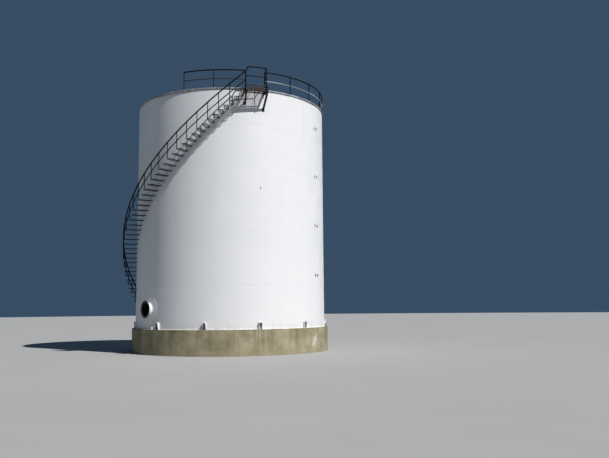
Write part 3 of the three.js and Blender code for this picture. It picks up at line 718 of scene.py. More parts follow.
def stillness(degrees, height):
    """1 on free shell, and 0 where pieces are set against it."""
    across = math.radians((degrees + 180) % 360 - 180) * SHELL_RADIUS
    off_manway = ramp(math.hypot(across, height - MANWAY_HEIGHT), start=0.7, run=0.5)
    off_foot = ramp(height - SHELL_BASE, start=0.4, run=0.6)
    off_rim = ramp(SHELL_TOP - height, start=0.12, run=0.4)
    return off_manway * off_foot * off_rim


def dent_depth(distance, deepest, reach):
    return deepest * math.exp(-((distance / reach) ** 2))


def bead_height(distance):
    return SEAM_BEAD * max(0.0, 1 - (distance / SEAM_WIDTH) ** 2)


def shell_radius(degrees, height, seams):
    turn = math.radians(degrees)
    wave = 0.0
    for lobes, climb, phase, share in WAVES:
        wave += share * math.sin(lobes * turn + climb * height + phase)
    hoops = [SHELL_BASE + index * COURSE_HEIGHT for index in range(1, COURSE_COUNT)]
    from_hoop = min(abs(height - hoop) for hoop in hoops)
    from_upright = math.radians(min(angle_between(degrees, seam) for seam in seams)) * SHELL_RADIUS
    dent = WAVE_DEPTH * 0.5 * (1 + wave / WAVE_TOTAL)
    dent += dent_depth(from_hoop, deepest=0.0022, reach=0.11)
    dent += dent_depth(from_upright, deepest=0.0028, reach=0.16)
    bead = max(bead_height(from_hoop), bead_height(from_upright))
    still = stillness(degrees, height)
    return SHELL_RADIUS - dent * still + bead * min(1.0, 0.3 + still)


def course_form(course):
    """One course: a fine outer face with its weld beads, closed by a plain inner face."""
    low = SHELL_BASE + course * COURSE_HEIGHT
    high = low + COURSE_HEIGHT
    seams = seam_angles(course)
    angles = spread(0, 360, ROUND_STEPS)[:-1]
    for seam in seams:
        angles += [(seam + offset * SEAM_ANGLE) % 360 for offset in (-2, -1, -0.5, 0, 0.5, 1, 2)]
    heights = [low + row for row in EDGE_ROWS]
    heights += [low + COURSE_HEIGHT * share for share in MIDDLE_ROWS]
    heights += [high - row for row in reversed(EDGE_ROWS)]
    rings = []
    for degrees in sorted(set(round(degrees, 5) for degrees in angles)):
        ring = [polar(shell_radius(degrees, height, seams), degrees, height) for height in heights]
        ring += [polar(SHELL_INNER, degrees, high), polar(SHELL_INNER, degrees, low)]
        rings.append(ring)
    form = Form()
    form.sections(rings, closed=True)
    return form


def add_courses():
    for course in range(COURSE_COUNT):
        form = course_form(course)
        if course == 0:
            hole = Form()
            hole.rod(*[(0, y, MANWAY_HEIGHT) for y in SHELL_CUT], NECK_RADIUS + NECK_ROOM, 48)
            form = cut(form, hole)
        form.finishes = []
        for face in form.faces:
            reach = max(form.corners[index].to_2d().length for index in face)
            form.finishes.append(1 if reach < SHELL_INNER + SAME_FACE else 0)
        looks = ["white_paint", "inner_steel"]
        node = f"shell_course_{course + 1}"
        make(f"course_{course + 1}", form, "white_paint", [node], sharp=50, looks=looks)


def add_bottom_plate():
    """Bottom plate, with the weld at the foot of the shell."""
    bottom = Form()
    bottom.lathe([
        (0, RING_HEIGHT), (BOTTOM_RADIUS, RING_HEIGHT), (BOTTOM_RADIUS, SHELL_BASE - 0.001),
        (BOTTOM_RADIUS - 0.001, SHELL_BASE), (0, SHELL_BASE),
    ])
    bottom.lathe(section_at(SHELL_RADIUS, SHELL_BASE, FOOT_WELD))
    make("bottom_plate_edge", bottom, "white_paint", ["bottom_plate"])


def add_curb():
    """Angle with one leg on the shell's top edge and the other hanging outside it."""
    curb = Form()
    leg = CURB_OUTER - CURB_THICKNESS
    curb.lathe([
        (CURB_INNER, SHELL_TOP), *section_at(leg, SHELL_TOP, CURB_FILLET),
        *section_at(leg, RIM_FOOT, CURB_TOE), *section_at(CURB_OUTER, RIM_FOOT, CURB_LOW_CORNER),
        *section_at(CURB_OUTER, CURB_TOP, CURB_HIGH_CORNER), (CURB_INNER, CURB_TOP),
    ])
    curb.lathe(section_at(SHELL_RADIUS, SHELL_TOP, CURB_WELD))
    make("rim_angle", curb, "white_paint", ["curb_angle"], looks=["rim_paint"])


add_courses()
add_bottom_plate()
add_curb()


# Roof
ROOF_SECTORS = 18
SECTOR_SHARES = (0.0, 0.004, 0.012, 0.02, 0.25, 0.5, 0.75, 1.0 - 0.0004)
LAP = 0.005
LAP_FADE = 0.15
SAG = 0.006
EYE_RADIUS = 0.5
EYE_PLATE_RADIUS = 0.62
ROOF_ROWS = (EYE_RADIUS, 0.9, 1.4, 2.0, 2.6, 3.2, 3.8, 4.3, 4.6, ROOF_LAND)


def roof_height(radius):
    return CURB_TOP + ROOF_THICKNESS + max(0.0, ROOF_LAND - radius) * ROOF_SLOPE


def add_roof():
    """Cone of overlapping plates, with a round plate over their points and a weld at the edge."""
    eye = roof_height(EYE_RADIUS)
    underside = [
        (ROOF_EDGE, CURB_TOP + ROOF_THICKNESS), (ROOF_EDGE, CURB_TOP), (ROOF_LAND, CURB_TOP),
        (EYE_RADIUS, eye - 0.014),
    ]
    rings = []
    for sector, share in itertools.product(range(ROOF_SECTORS), SECTOR_SHARES):
        degrees = (sector + share) * 360 / ROOF_SECTORS
        lift = LAP * (1 - share) if share else 0.0
        ring = []
        for radius in ROOF_ROWS:
            fade = min(1.0, (ROOF_LAND - radius) / LAP_FADE)
            sag = SAG * math.sin(math.pi * share) ** 2 * math.sin(math.pi * radius / ROOF_LAND)
            ring.append(polar(radius, degrees, roof_height(radius) + (lift - sag) * fade))
        ring += [polar(radius, degrees, height) for radius, height in underside]
        rings.append(ring)
    form = Form()
    form.sections(rings, closed=True)
    peak = roof_height(0)
    rim = roof_height(EYE_PLATE_RADIUS)
    form.lathe([
        (0, peak - 0.012), (EYE_RADIUS, eye - 0.012), (EYE_PLATE_RADIUS, rim - 0.004),
        (EYE_PLATE_RADIUS, rim + 0.006), (EYE_RADIUS, eye + 0.006), (0.12, peak - 0.014), (0, peak - 0.001),
    ], 96)
    weld = ((-0.001, 0), (0.006, 0), (-0.001, ROOF_THICKNESS))
    form.lathe(section_at(ROOF_EDGE, CURB_TOP, weld))
    make("roof_plates", form, "white_paint", ["cone_roof"], sharp=25)


# Roof fittings, with profiles as (radius, height) from the level that each function gives
FITTING_LOOKS = ["white_paint", "bare_steel"]
VENT_FOOT_RADIUS = 0.2
VENT_NECK_RADIUS = 0.11
VENT_RISE = 0.26
VENT_HOOD = (
    (0, -0.004), (0.2, -0.004), (0.222, -0.03), (0.229, -0.028), (0.229, 0.006),
    (0.215, 0.024), (0.12, 0.052), (0.03, 0.067), (0, 0.069),
)
SCREEN_RADIUS = 0.165
SCREEN_WIRE = 0.0016
SCREEN_DEPTH = 0.10
SCREEN_UPRIGHTS = 40
SCREEN_HOOPS = 5
SCREEN_HOOP_EVERY = 0.022

ROOF_MANWAY_ANGLE = 35
ROOF_MANWAY_OUT = 2.9
ROOF_MANWAY_RISE = 0.15
ROOF_MANWAY_NECK = oblong(0, 0.305, -0.33, -0.012)
ROOF_MANWAY_FLANGE = (
    (0.305, -0.012), (0.362, -0.012), (0.364, -0.010), (0.364, -0.002), (0.362, 0), (0.305, 0),
)
ROOF_MANWAY_COVER = ((0, 0), (0.363, 0), (0.365, 0.002), (0.365, 0.0095), (0.362, 0.012), (0, 0.012))
ROOF_MANWAY_BOLTS = 20
ROOF_MANWAY_BOLT_CIRCLE = 0.337
ROOF_MANWAY_GRIP = ((-0.09, 0, 0.008), (-0.085, 0, 0.014), (0.085, 0, 0.014), (0.09, 0, 0.008))

HATCH_OUT = 3.9
HATCH_RISE = 0.16
HATCH_NECK = oblong(0, 0.1, -0.26, -0.004)
HATCH_FLANGE = ((0.1, -0.018), (0.152, -0.018), (0.154, -0.004), (0.1, -0.004))
HATCH_LID = ((0, -0.002), (0.155, -0.002), (0.159, 0.002), (0.157, 0.008), (0.11, 0.013), (0, 0.0155))
HINGE_SIDE = 0.024
HINGE_OUT = 0.148


def add_roof_vent():
    """Vent with a hood over a neck, and a wire screen between them."""
    vent = Form()
    foot = roof_height(VENT_FOOT_RADIUS) - 0.01
    peak = roof_height(0)
    under = peak + VENT_RISE
    vent.lathe([
        (0, foot), (VENT_FOOT_RADIUS, foot), (VENT_FOOT_RADIUS, peak + 0.002),
        (VENT_NECK_RADIUS + 0.004, peak + 0.008), (VENT_NECK_RADIUS, peak + 0.016),
        (VENT_NECK_RADIUS, under), (0, under),
    ], 48)
    vent.lathe(section_at(0, under, VENT_HOOD), 48)
    foot = under - SCREEN_DEPTH
    for degrees in spread(0, 360, SCREEN_UPRIGHTS)[:-1]:
        low = polar(SCREEN_RADIUS, degrees, foot)
        vent.rod(low, polar(SCREEN_RADIUS, degrees, under - 0.003), SCREEN_WIRE, 6, finish=1)
    for hoop in range(SCREEN_HOOPS):
        height = foot + hoop * SCREEN_HOOP_EVERY
        circle = [polar(SCREEN_RADIUS, degrees, height) for degrees in spread(0, 360, 36)]
        vent.pipe(circle, SCREEN_WIRE, 6, finish=1)
    vent.lathe(oblong(0.10, 0.172, foot - 0.006, foot + 0.002), 48)
    make("vent", vent, "white_paint", ["roof_vent"], looks=FITTING_LOOKS)


def bolt_circle(form, place, radius, count, width, height, finish=0):
    for turn in turns(count):
        spot = place @ shifted(radius * math.cos(turn), radius * math.sin(turn))
        form.nut(spot @ Matrix.Rotation(turn, 4, "Z"), width, height, finish)


def add_roof_manway():
    """Manway with a bolted cover and a bent rod to lift it by."""
    level = roof_height(ROOF_MANWAY_OUT) + ROOF_MANWAY_RISE
    place = standing_at(ROOF_MANWAY_ANGLE, ROOF_MANWAY_OUT, level)
    manway = Form()
    for profile in (ROOF_MANWAY_NECK, ROOF_MANWAY_FLANGE, ROOF_MANWAY_COVER):
        manway.lathe(profile, 64, place)
    bolts = place @ shifted(z=0.0118)
    bolt_circle(manway, bolts, ROOF_MANWAY_BOLT_CIRCLE, ROOF_MANWAY_BOLTS, 0.024, 0.004, 1)
    for start, end in zip(ROOF_MANWAY_GRIP, ROOF_MANWAY_GRIP[1:]):
        manway.rod(place @ Vector(start), place @ Vector(end), 0.002, 8)
    make("roof_manway_cover", manway, "white_paint", ["roof_manway"], looks=FITTING_LOOKS)


def add_gauge_hatch():
    """Hatch with a hinged lid and a latch."""
    place = standing_at(PLATFORM_MIDDLE, HATCH_OUT, roof_height(HATCH_OUT) + HATCH_RISE)
    hatch = Form()
    for profile in (HATCH_NECK, HATCH_FLANGE, HATCH_LID):
        hatch.lathe(profile, 40, place)
    for side in (-HINGE_SIDE, HINGE_SIDE):
        hatch.box((side - 0.005, 0.13, -0.03), (side + 0.005, 0.158, 0.012), place, 1)
    hatch.rod((-0.032, HINGE_OUT, 0.004), (0.032, HINGE_OUT, 0.004), 0.005, 10, 1, place)
    hatch.box((-0.016, -0.158, -0.036), (0.016, -0.142, 0.012), place, 1)
    make("gauge_hatch_lid", hatch, "white_paint", ["gauge_hatch"], looks=FITTING_LOOKS)


add_roof()
add_roof_vent()
add_roof_manway()
add_gauge_hatch()


# Shell manway
FLANGE_THICKNESS = 0.016
FLANGE_EDGE = 0.0015
FLANGE_WELD = 0.007
BORE_EDGE = 0.001
NECK_REACH_IN = 0.04
BOLT_CIRCLE = 0.368
BOLT_HOLE = 0.0135
FLANGE_BOLTS = 28
PAD_FACE = SHELL_RADIUS + 0.0082
PAD_BACK = SHELL_RADIUS - 0.001
PAD_STEPS = 72
PAD_ROWS = (NECK_RADIUS + 0.001, 0.36, 0.42, 0.48, 0.54, 0.58, 0.61, PAD_RADIUS)
PAD_EDGE_WELD = 0.0075
PAD_NECK_WELD = 0.009
WELD_ROOT = 0.002
WELD_CROWN = 0.62


def add_manway_neck():
    """Neck and flange with its bolt holes, bare on the face and dark in the bore."""
    facing = shifted(z=MANWAY_HEIGHT) @ Matrix.Rotation(math.radians(90), 4, "X")
    face = FLANGE_FACE
    back = face - FLANGE_THICKNESS
    inside = SHELL_INNER - NECK_REACH_IN
    neck = Form()
    neck.lathe([
        (BORE_RADIUS, inside), (BORE_RADIUS, face - BORE_EDGE), (BORE_RADIUS + BORE_EDGE, face),
        (FLANGE_RADIUS - FLANGE_EDGE, face), (FLANGE_RADIUS, face - FLANGE_EDGE),
        (FLANGE_RADIUS, back + FLANGE_EDGE), (FLANGE_RADIUS - FLANGE_EDGE, back),
        (NECK_RADIUS + FLANGE_WELD, back), (NECK_RADIUS, back - FLANGE_WELD), (NECK_RADIUS, inside),
    ], 96, facing)
    holes = Form()
    for turn in turns(FLANGE_BOLTS, 0.5):
        across = BOLT_CIRCLE * math.cos(turn)
        height = MANWAY_HEIGHT + BOLT_CIRCLE * math.sin(turn)
        holes.rod(*[(across, y, height) for y in FLANGE_CUT], BOLT_HOLE, 14)
    form = cut(neck, holes)
    form.finishes = []
    for face_corners in form.faces:
        points = [form.corners[index] for index in face_corners]
        is_face = max(point.y for point in points) < -face + SAME_FACE
        reach = max(math.hypot(point.x, point.z - MANWAY_HEIGHT) for point in points)
        form.finishes.append(1 if is_face else 2 if reach < BORE_RADIUS + SAME_FACE else 0)
    looks = ["white_paint", "bare_steel", "inner_steel"]
    make("manway_flange", form, "white_paint", ["manway_neck"], sharp=40, looks=looks)


def on_shell(turn, reach, radius):
    """Point at a turn and a reach from the manway's middle, at a radius of the tank."""
    across = reach * math.sin(turn)
    out = math.sqrt(radius * radius - across * across)
    return Vector((across, -out, MANWAY_HEIGHT + reach * math.cos(turn)))


def add_manway_pad():
    """Plate rolled to the shell round the neck, with a weld at its edge and one at the neck."""
    pad = Form()
    spots = [(PAD_FACE, row) for row in PAD_ROWS] + [(PAD_BACK, row) for row in reversed(PAD_ROWS)]
    rings = [[on_shell(turn, reach, radius) for radius, reach in spots] for turn in turns(PAD_STEPS)]
    pad.sections(rings, closed=True)
    lift = Vector((0, -1, 0))
    welds = ((PAD_RADIUS, SHELL_RADIUS, PAD_EDGE_WELD), (NECK_RADIUS, PAD_FACE, PAD_NECK_WELD))
    for reach, level, size in welds:
        beads = []
        for turn in turns(2 * PAD_STEPS):
            base = on_shell(turn, reach, level)
            outward = Vector((math.sin(turn), 0, math.cos(turn)))
            root = base - WELD_ROOT * outward
            crown = base + WELD_CROWN * size * (outward + lift)
            beads.append([root - WELD_ROOT * lift, base + size * outward, crown, root + size * lift])
        pad.sections(beads, closed=True)
    make("manway_pad_plate", pad, "white_paint", ["manway_pad"], sharp=45)


add_manway_neck()
add_manway_pad()


# Anchor chairs
CHAIR_FIRST = 9
CHAIR_COUNT = 12
CHAIR_HEIGHT = 0.3
CHAIR_WIDTH = 0.165
CHAIR_DEPTH = 0.13
CHAIR_FOOT = 0.069
CHAIR_ROOT = 0.006
CHAIR_PLATE = 0.02
CHAIR_GUSSET = 0.012
GUSSET_INSET = 0.006
CHAIR_EDGE = 0.0016
CHAIR_BOLT_OUT = 0.096
CHAIR_BOLT_RADIUS = 0.016
CHAIR_BOLT_OVER = 0.045
CHAIR_WASHER = oblong(0.017, 0.0325, 0, 0.005)


def add_chairs():
    under = CHAIR_HEIGHT - CHAIR_PLATE
    half = CHAIR_WIDTH / 2
    outline = [(CHAIR_ROOT, 0.0), (-CHAIR_FOOT, 0.0), (-CHAIR_DEPTH + 0.006, under), (CHAIR_ROOT, under)]
    bolt_foot = (0, -CHAIR_BOLT_OUT, -0.0075)
    bolt_top = (0, -CHAIR_BOLT_OUT, CHAIR_HEIGHT + CHAIR_BOLT_OVER)
    for index in range(CHAIR_COUNT):
        place = standing_at(CHAIR_FIRST + 360 / CHAIR_COUNT * index, SHELL_RADIUS, SHELL_BASE)
        chair = Form()
        chair.box((-half, -CHAIR_DEPTH + 0.0015, under), (half, CHAIR_ROOT, CHAIR_HEIGHT), place)
        for side in (-half + GUSSET_INSET, half - GUSSET_INSET - CHAIR_GUSSET):
            rings = [[(level, y, z) for y, z in outline] for level in (side, side + CHAIR_GUSSET)]
            chair.sections(rings, place)
        washer = place @ shifted(0, -CHAIR_BOLT_OUT, CHAIR_HEIGHT)
        chair.lathe(CHAIR_WASHER, 24, washer)
        chair.nut(washer @ shifted(z=0.005), 0.05, 0.027)
        chair.rod(bolt_foot, bolt_top, CHAIR_BOLT_RADIUS, 16, 1, place)
        node = f"anchor_chair_{index + 1:02d}"
        name = f"chair_with_bolt_{index + 1:02d}"
        make(name, chair, "white_paint", [node], CHAIR_EDGE, looks=FITTING_LOOKS)


# Clips and lugs
CLIP_ANGLE = 112.8
CLIP_HEIGHTS = (2.49, 4.905, 7.32, 9.735)
CLIP_SPACING = 0.25
CLIP_SIZE = 0.07
CLIP_LENGTH = 0.115
LUG_ANGLE = 69.6
LUG_HEIGHT = 6.41
LUG_SIZE = 0.068
GROUNDING_ANGLE = 3.8
GROUNDING_HEIGHT = 0.06
GROUNDING_HOLE_OUT = 0.042
FITTING_EDGE = 0.0008


def base_plate(form, place, width, height):
    form.box((-width / 2, -0.008, -height / 2), (width / 2, 0.006, height / 2), place)


def drilled_plate(width, height, thickness, hole_radius, hole_out, steps=24):
    """Rings of an upright plate square to the shell with a round hole, at the shell's face."""
    half = thickness / 2
    rings = []
    for turn in turns(steps):
        across = math.cos(turn)
        along = math.sin(turn)
        room = width - hole_out if across < 0 else hole_out + 0.004
        reach = min(room / max(abs(across), SAME_SPOT), height / 2 / max(abs(along), SAME_SPOT))
        hole = (-hole_out + hole_radius * across, hole_radius * along)
        edge = (-hole_out + reach * across, reach * along)
        rings.append([(-half, *hole), (-half, *edge), (half, *edge), (half, *hole)])
    return rings


def add_clips():
    """Pairs of clips: an upright plate with a hole, on a base plate against the shell."""
    standing = drilled_plate(CLIP_SIZE, CLIP_LENGTH, thickness=0.01, hole_radius=0.009, hole_out=0.045)
    aside = math.degrees(CLIP_SPACING / 2 / SHELL_RADIUS)
    for index, height in enumerate(CLIP_HEIGHTS):
        clips = Form()
        for angle in (CLIP_ANGLE - aside, CLIP_ANGLE + aside):
            place = standing_at(angle, SHELL_RADIUS, RING_HEIGHT + height)
            base_plate(clips, place, CLIP_SIZE, CLIP_LENGTH)
            clips.sections(standing, place, 1, closed=True)
        node = f"clip_pair_{index + 1}"
        # Upright plates take the grey rim_paint look: partly primer, partly painted shade on their sides
        looks = ["white_paint", "rim_paint"]
        make(f"clips_{index + 1}", clips, "white_paint", [node], FITTING_EDGE, looks=looks)


def add_lugs():
    """Lug below the platform, and the grounding lug with its bolt beside the manway."""
    lug = Form()
    place = standing_at(LUG_ANGLE, SHELL_RADIUS, RING_HEIGHT + LUG_HEIGHT)
    base_plate(lug, place, LUG_SIZE, LUG_SIZE)
    lug.sections(drilled_plate(LUG_SIZE, 0.06, 0.016, hole_radius=0.012, hole_out=0.04), place, closed=True)
    make("lug_on_shell", lug, "white_paint", ["shell_lug"], FITTING_EDGE)

    lug = Form()
    place = standing_at(GROUNDING_ANGLE, SHELL_RADIUS, SHELL_BASE + GROUNDING_HEIGHT)
    plate = drilled_plate(LUG_SIZE, 0.12, 0.01, hole_radius=0.008, hole_out=GROUNDING_HOLE_OUT)
    lug.sections(plate, place, closed=True)
    lug.rod((-0.02, -GROUNDING_HOLE_OUT, 0.0), (0.024, -GROUNDING_HOLE_OUT, 0.0), 0.006, 10, 1, place)
    nut_place = place @ shifted(0.005, -GROUNDING_HOLE_OUT) @ Matrix.Rotation(math.pi / 2, 4, "Y")
    lug.nut(nut_place, 0.019, 0.01, 1)
    make("earthing_lug", lug, "white_paint", ["grounding_lug"], FITTING_EDGE, looks=FITTING_LOOKS)


add_chairs()
add_clips()
add_lugs()


# Expanded metal of the treads and the platform's floor
MESH_ACROSS = 0.04
MESH_ALONG = 0.09
MESH_THICKNESS = 0.006
MESH_REACH = 7.0
FAR = 10.0
SHORTEST_STRAND = 0.01


def clipped(start, along, limits):
    """First and last distance along a line that keep inside limits, each (across, reach), or None."""
    first, last = -FAR, FAR
    for across, reach in limits:
        speed = along.dot(across)
        room = reach - start.dot(across)
        if speed > 0:
            last = min(last, room / speed)
        else:
            first = max(first, room / speed)
    return (first, last) if last - first > SHORTEST_STRAND else None


def add_mesh_sheet(form, place, limits, high, width):
    """Sheet of expanded metal: two sets of slanting strands, one set on the other."""
    low = high - MESH_THICKNESS
    middle = high - MESH_THICKNESS / 2
    for slant, bottom, top in ((1, low, middle), (-1, middle, high)):
        along = Vector((slant * MESH_ACROSS, MESH_ALONG)).normalized()
        side = Vector((along.y, -along.x)) * (width / 2)
        for strand in range(-round(MESH_REACH / MESH_ALONG), 0):
            start = Vector((0, strand * MESH_ALONG))
            reach = clipped(start, along, limits)
            if not reach:
                continue
            ends = [start + along * distance for distance in reach]
            outline = [ends[0] - side, ends[0] + side, ends[1] + side, ends[1] - side]
            form.sections([[(spot.x, spot.y, level) for spot in outline] for level in (bottom, top)], place)


# Stair, with its finishes after the first
WALL_BAR = 1
TREAD_END = 2
TREAD_BAR = 0.005
TREAD_STRAND = 0.01
NOSING_STRIP = 0.024
RING_GAP = 0.0066
STRINGER_THICKNESS = 0.0105
WALL_BAR_BELOW = 0.07
FLIGHT_GAP = 0.15


def tread_angle(tread):
    return PLATFORM_FROM - (tread - 0.5) * TREAD_ANGLE


def tread_top(tread):
    return PLATFORM_TOP - tread * TREAD_RISE


def nosing(degrees):
    return PLATFORM_TOP - (PLATFORM_FROM - degrees) / TREAD_ANGLE * TREAD_RISE


def add_tread(form, tread, inner, outer):
    """Tread of expanded metal in a frame of flat bar, with a strip for the nosing."""
    place = standing_at(tread_angle(tread), 0, tread_top(tread))
    half = TREAD_RUN / 2
    back = half - TREAD_BAR
    near = -inner - TREAD_BAR
    far = -outer + TREAD_BAR
    form.box((-half, -outer, -TREAD_DEPTH), (half, far, 0), place, TREAD_END)
    form.box((-half, near, -TREAD_DEPTH), (half, -inner, 0), place)
    form.box((-half, far, -TREAD_DEPTH), (-back, near, 0), place)
    form.box((back, far, -TREAD_DEPTH), (half, near, 0), place, TREAD_END)
    form.box((-back, far, -0.009), (-half + NOSING_STRIP, near, -0.006), place)
    limits = (
        (Vector((1, 0)), back), (Vector((-1, 0)), back), (Vector((0, 1)), near), (Vector((0, -1)), -far),
    )
    add_mesh_sheet(form, place, limits, 0, TREAD_STRAND)


def curved_strip(form, inner, outer, angles, level, finish=0):
    """Strip round the tank through angles, with level giving its low and high edge at each."""
    rings = [[polar(radius, degrees, height) for radius, height in oblong(inner, outer, *level(degrees))]
             for degrees in angles]
    form.sections(rings, finish=finish)


def climbing_bar(form, inner, outer, start, end, below, above, finish=0):
    """Flat bar that climbs with the stair, and stops at the ground."""
    angles = spread(start, end, max(2, round((end - start) / (TREAD_ANGLE / 2))))

    def level(degrees):
        return max(nosing(degrees) - below, 0), max(nosing(degrees) + above, 0.004)

    curved_strip(form, inner, outer, angles, level, finish)


def add_stair():
    """Flights of treads on a wall bar, the lowest treads on an outer stringer as well."""
    per_flight = TREAD_COUNT // FLIGHTS
    for flight in range(FLIGHTS):
        last = TREAD_COUNT - flight * per_flight
        first = last - per_flight + 1
        treads = Form()
        start = PLATFORM_FROM - last * TREAD_ANGLE
        bar_start = start
        while nosing(bar_start) - WALL_BAR_BELOW < SHELL_BASE + 0.02:
            bar_start += 0.1
        bar_end = PLATFORM_FROM - (first - 1) * TREAD_ANGLE - FLIGHT_GAP
        radii = (SHELL_RADIUS - 0.004, SHELL_RADIUS + 0.01)
        climbing_bar(treads, *radii, bar_start, bar_end, WALL_BAR_BELOW, above=0.01, finish=WALL_BAR)
        for tread in range(first, last + 1):
            is_beside_ring = tread_top(tread) < SHELL_BASE + 0.04
            inner = RING_OUTER + RING_GAP if is_beside_ring else SHELL_RADIUS + 0.001
            on_stringer = tread > TREAD_COUNT - STRINGER_TREADS
            outer = PLATFORM_RADIUS - (STRINGER_THICKNESS if on_stringer else 0.0)
            add_tread(treads, tread, inner / math.cos(math.radians(TREAD_ANGLE / 2 - 0.005)), outer)
        if flight == 0:
            ends = (start - TREAD_ANGLE, PLATFORM_FROM - (TREAD_COUNT - STRINGER_TREADS) * TREAD_ANGLE)
            radii = (PLATFORM_RADIUS - STRINGER_THICKNESS, PLATFORM_RADIUS - 0.001)
            climbing_bar(treads, *radii, *ends, below=0.12, above=0.03, finish=TREAD_END)
        looks = ["stair_steel", "white_paint", "rail_paint"]
        make(f"treads_{flight + 1}", treads, "stair_steel", [f"stair_flight_{flight + 1}"], looks=looks)


def climbing_rail(form, start, end, height, radius):
    spots = spread(start, end, max(2, round((end - start) / 1.5)))
    form.pipe([polar(RAIL_CIRCLE, degrees, nosing(degrees) + height) for degrees in spots], radius)


def add_stair_post(form, tread):
    """Post of the handrail, with a lug from it to the end of its tread."""
    place = standing_at(tread_angle(tread))
    degrees = tread_angle(tread) - math.degrees(STAIR_POST_BACK / RAIL_CIRCLE)
    foot = (-STAIR_POST_BACK, -RAIL_CIRCLE, tread_top(tread) - TREAD_DEPTH)
    head = (-STAIR_POST_BACK, -RAIL_CIRCLE, nosing(degrees) + STAIR_RAIL_HEIGHT)
    form.rod(foot, head, THIN_POST, 12, 0, place)
    middle = tread_top(tread) - TREAD_DEPTH / 2
    lug_low = (-STAIR_POST_BACK - 0.02, -RAIL_CIRCLE, middle - 0.015)
    lug_high = (-STAIR_POST_BACK + 0.02, -PLATFORM_RADIUS, middle + 0.015)
    form.box(lug_low, lug_high, place)


def add_handrails():
    """Handrail and middle rail in two lengths, with a post at every other tread."""
    middle = TREAD_COUNT // 2
    join = tread_angle(middle)
    spans = (
        ("lower", tread_angle(TREAD_COUNT), join - 0.004, middle + 1, TREAD_COUNT - 1),
        ("upper", join, PLATFORM_FROM - 0.01, 3, middle - 1),
    )
    for name, start, end, first, last in spans:
        rail = Form()
        climbing_rail(rail, start, end, STAIR_RAIL_HEIGHT, TOP_RAIL)
        climbing_rail(rail, start, end, STAIR_MID_RAIL_HEIGHT, MID_RAIL)
        for tread in range(first, last + 1, 2):
            add_stair_post(rail, tread)
        make(f"handrail_{name}", rail, "rail_paint", [f"stair_handrail_{name}"], sharp=50)


add_stair()
add_handrails()


# Platform
WEB = 0.01
CHANNEL_FLANGE = 0.008
OUTER_CHANNEL_REACH = 0.06
END_CHANNEL_REACH = 0.055
CHANNEL_TOP = PLATFORM_TOP - 0.001
UPPER_FLANGE = PLATFORM_TOP - MESH_THICKNESS - CHANNEL_FLANGE
WALL = SHELL_RADIUS + 0.002
INNER_BAR = 4.746
BEARER_DEPTH = 0.03
PLATFORM_STRAND = 0.009
TOE_HEIGHT = 0.17
TOE_SLOT = (0.03, 0.1)
TOE_SLOTS = 4
TOE_FOOT_ANGLE = 0.6
TOE_THICKNESS = 0.006
BRACES = (("left", PLATFORM_FROM + 0.8, 0.48), ("right", PLATFORM_TO - 0.42, 0.73))
BRACE_TIP = 5.358
BRACE_ROOT = SHELL_RADIUS - 0.004
BRACE_LEG = 0.078
BRACE_HALF = 0.0365
BRACE_THICKNESS = 0.008


def arc_strip(form, inner, outer, start, end, low, high):
    """Level strip round the tank from one angle to another."""
    angles = spread(start, end, max(1, round((end - start) / 0.7)))
    curved_strip(form, inner, outer, angles, lambda degrees: (low, high))


def add_platform_floor():
    """Expanded metal and two bearers in a frame of channels."""
    floor = Form()
    ends = (PLATFORM_FROM, PLATFORM_TO)
    web_inner = PLATFORM_RADIUS - WEB
    arc_strip(floor, web_inner, PLATFORM_RADIUS, *ends, PLATFORM_BASE, CHANNEL_TOP)
    for low in (PLATFORM_BASE, UPPER_FLANGE):
        arc_strip(floor, PLATFORM_RADIUS - OUTER_CHANNEL_REACH, web_inner, *ends, low, low + CHANNEL_FLANGE)
    for degrees, side in ((PLATFORM_FROM, 1), (PLATFORM_TO, -1)):
        place = standing_at(degrees)
        left, right = sorted((0.0, side * WEB))
        floor.box((left, -web_inner, PLATFORM_BASE), (right, -WALL, CHANNEL_TOP), place)
        left, right = sorted((side * WEB, side * END_CHANNEL_REACH))
        for low in (PLATFORM_BASE, UPPER_FLANGE):
            corner = (left, -PLATFORM_RADIUS + OUTER_CHANNEL_REACH, low)
            floor.box(corner, (right, -WALL, low + CHANNEL_FLANGE), place)
    bar_ends = (PLATFORM_FROM + 0.12, PLATFORM_TO - 0.12)
    bar_low = PLATFORM_TOP - BEARER_DEPTH
    arc_strip(floor, INNER_BAR - 0.005, INNER_BAR, *bar_ends, bar_low, CHANNEL_TOP)
    half_angle = math.radians((PLATFORM_TO - PLATFORM_FROM) / 2)
    cosine = math.cos(half_angle)
    limits = [(Vector((0, 1)), -INNER_BAR * cosine), (Vector((0, -1)), web_inner * cosine)]
    limits += [(Vector((side * cosine, math.sin(half_angle))), -WEB) for side in (-1, 1)]
    add_mesh_sheet(floor, standing_at(PLATFORM_MIDDLE), limits, PLATFORM_TOP, PLATFORM_STRAND)
    for degrees in spread(*ends, 3)[1:-1]:
        high = PLATFORM_TOP - MESH_THICKNESS
        floor.box((-0.004, -web_inner, bar_low), (0.004, -INNER_BAR, high), standing_at(degrees))
    make("platform_grating", floor, "primer", ["platform_floor"])


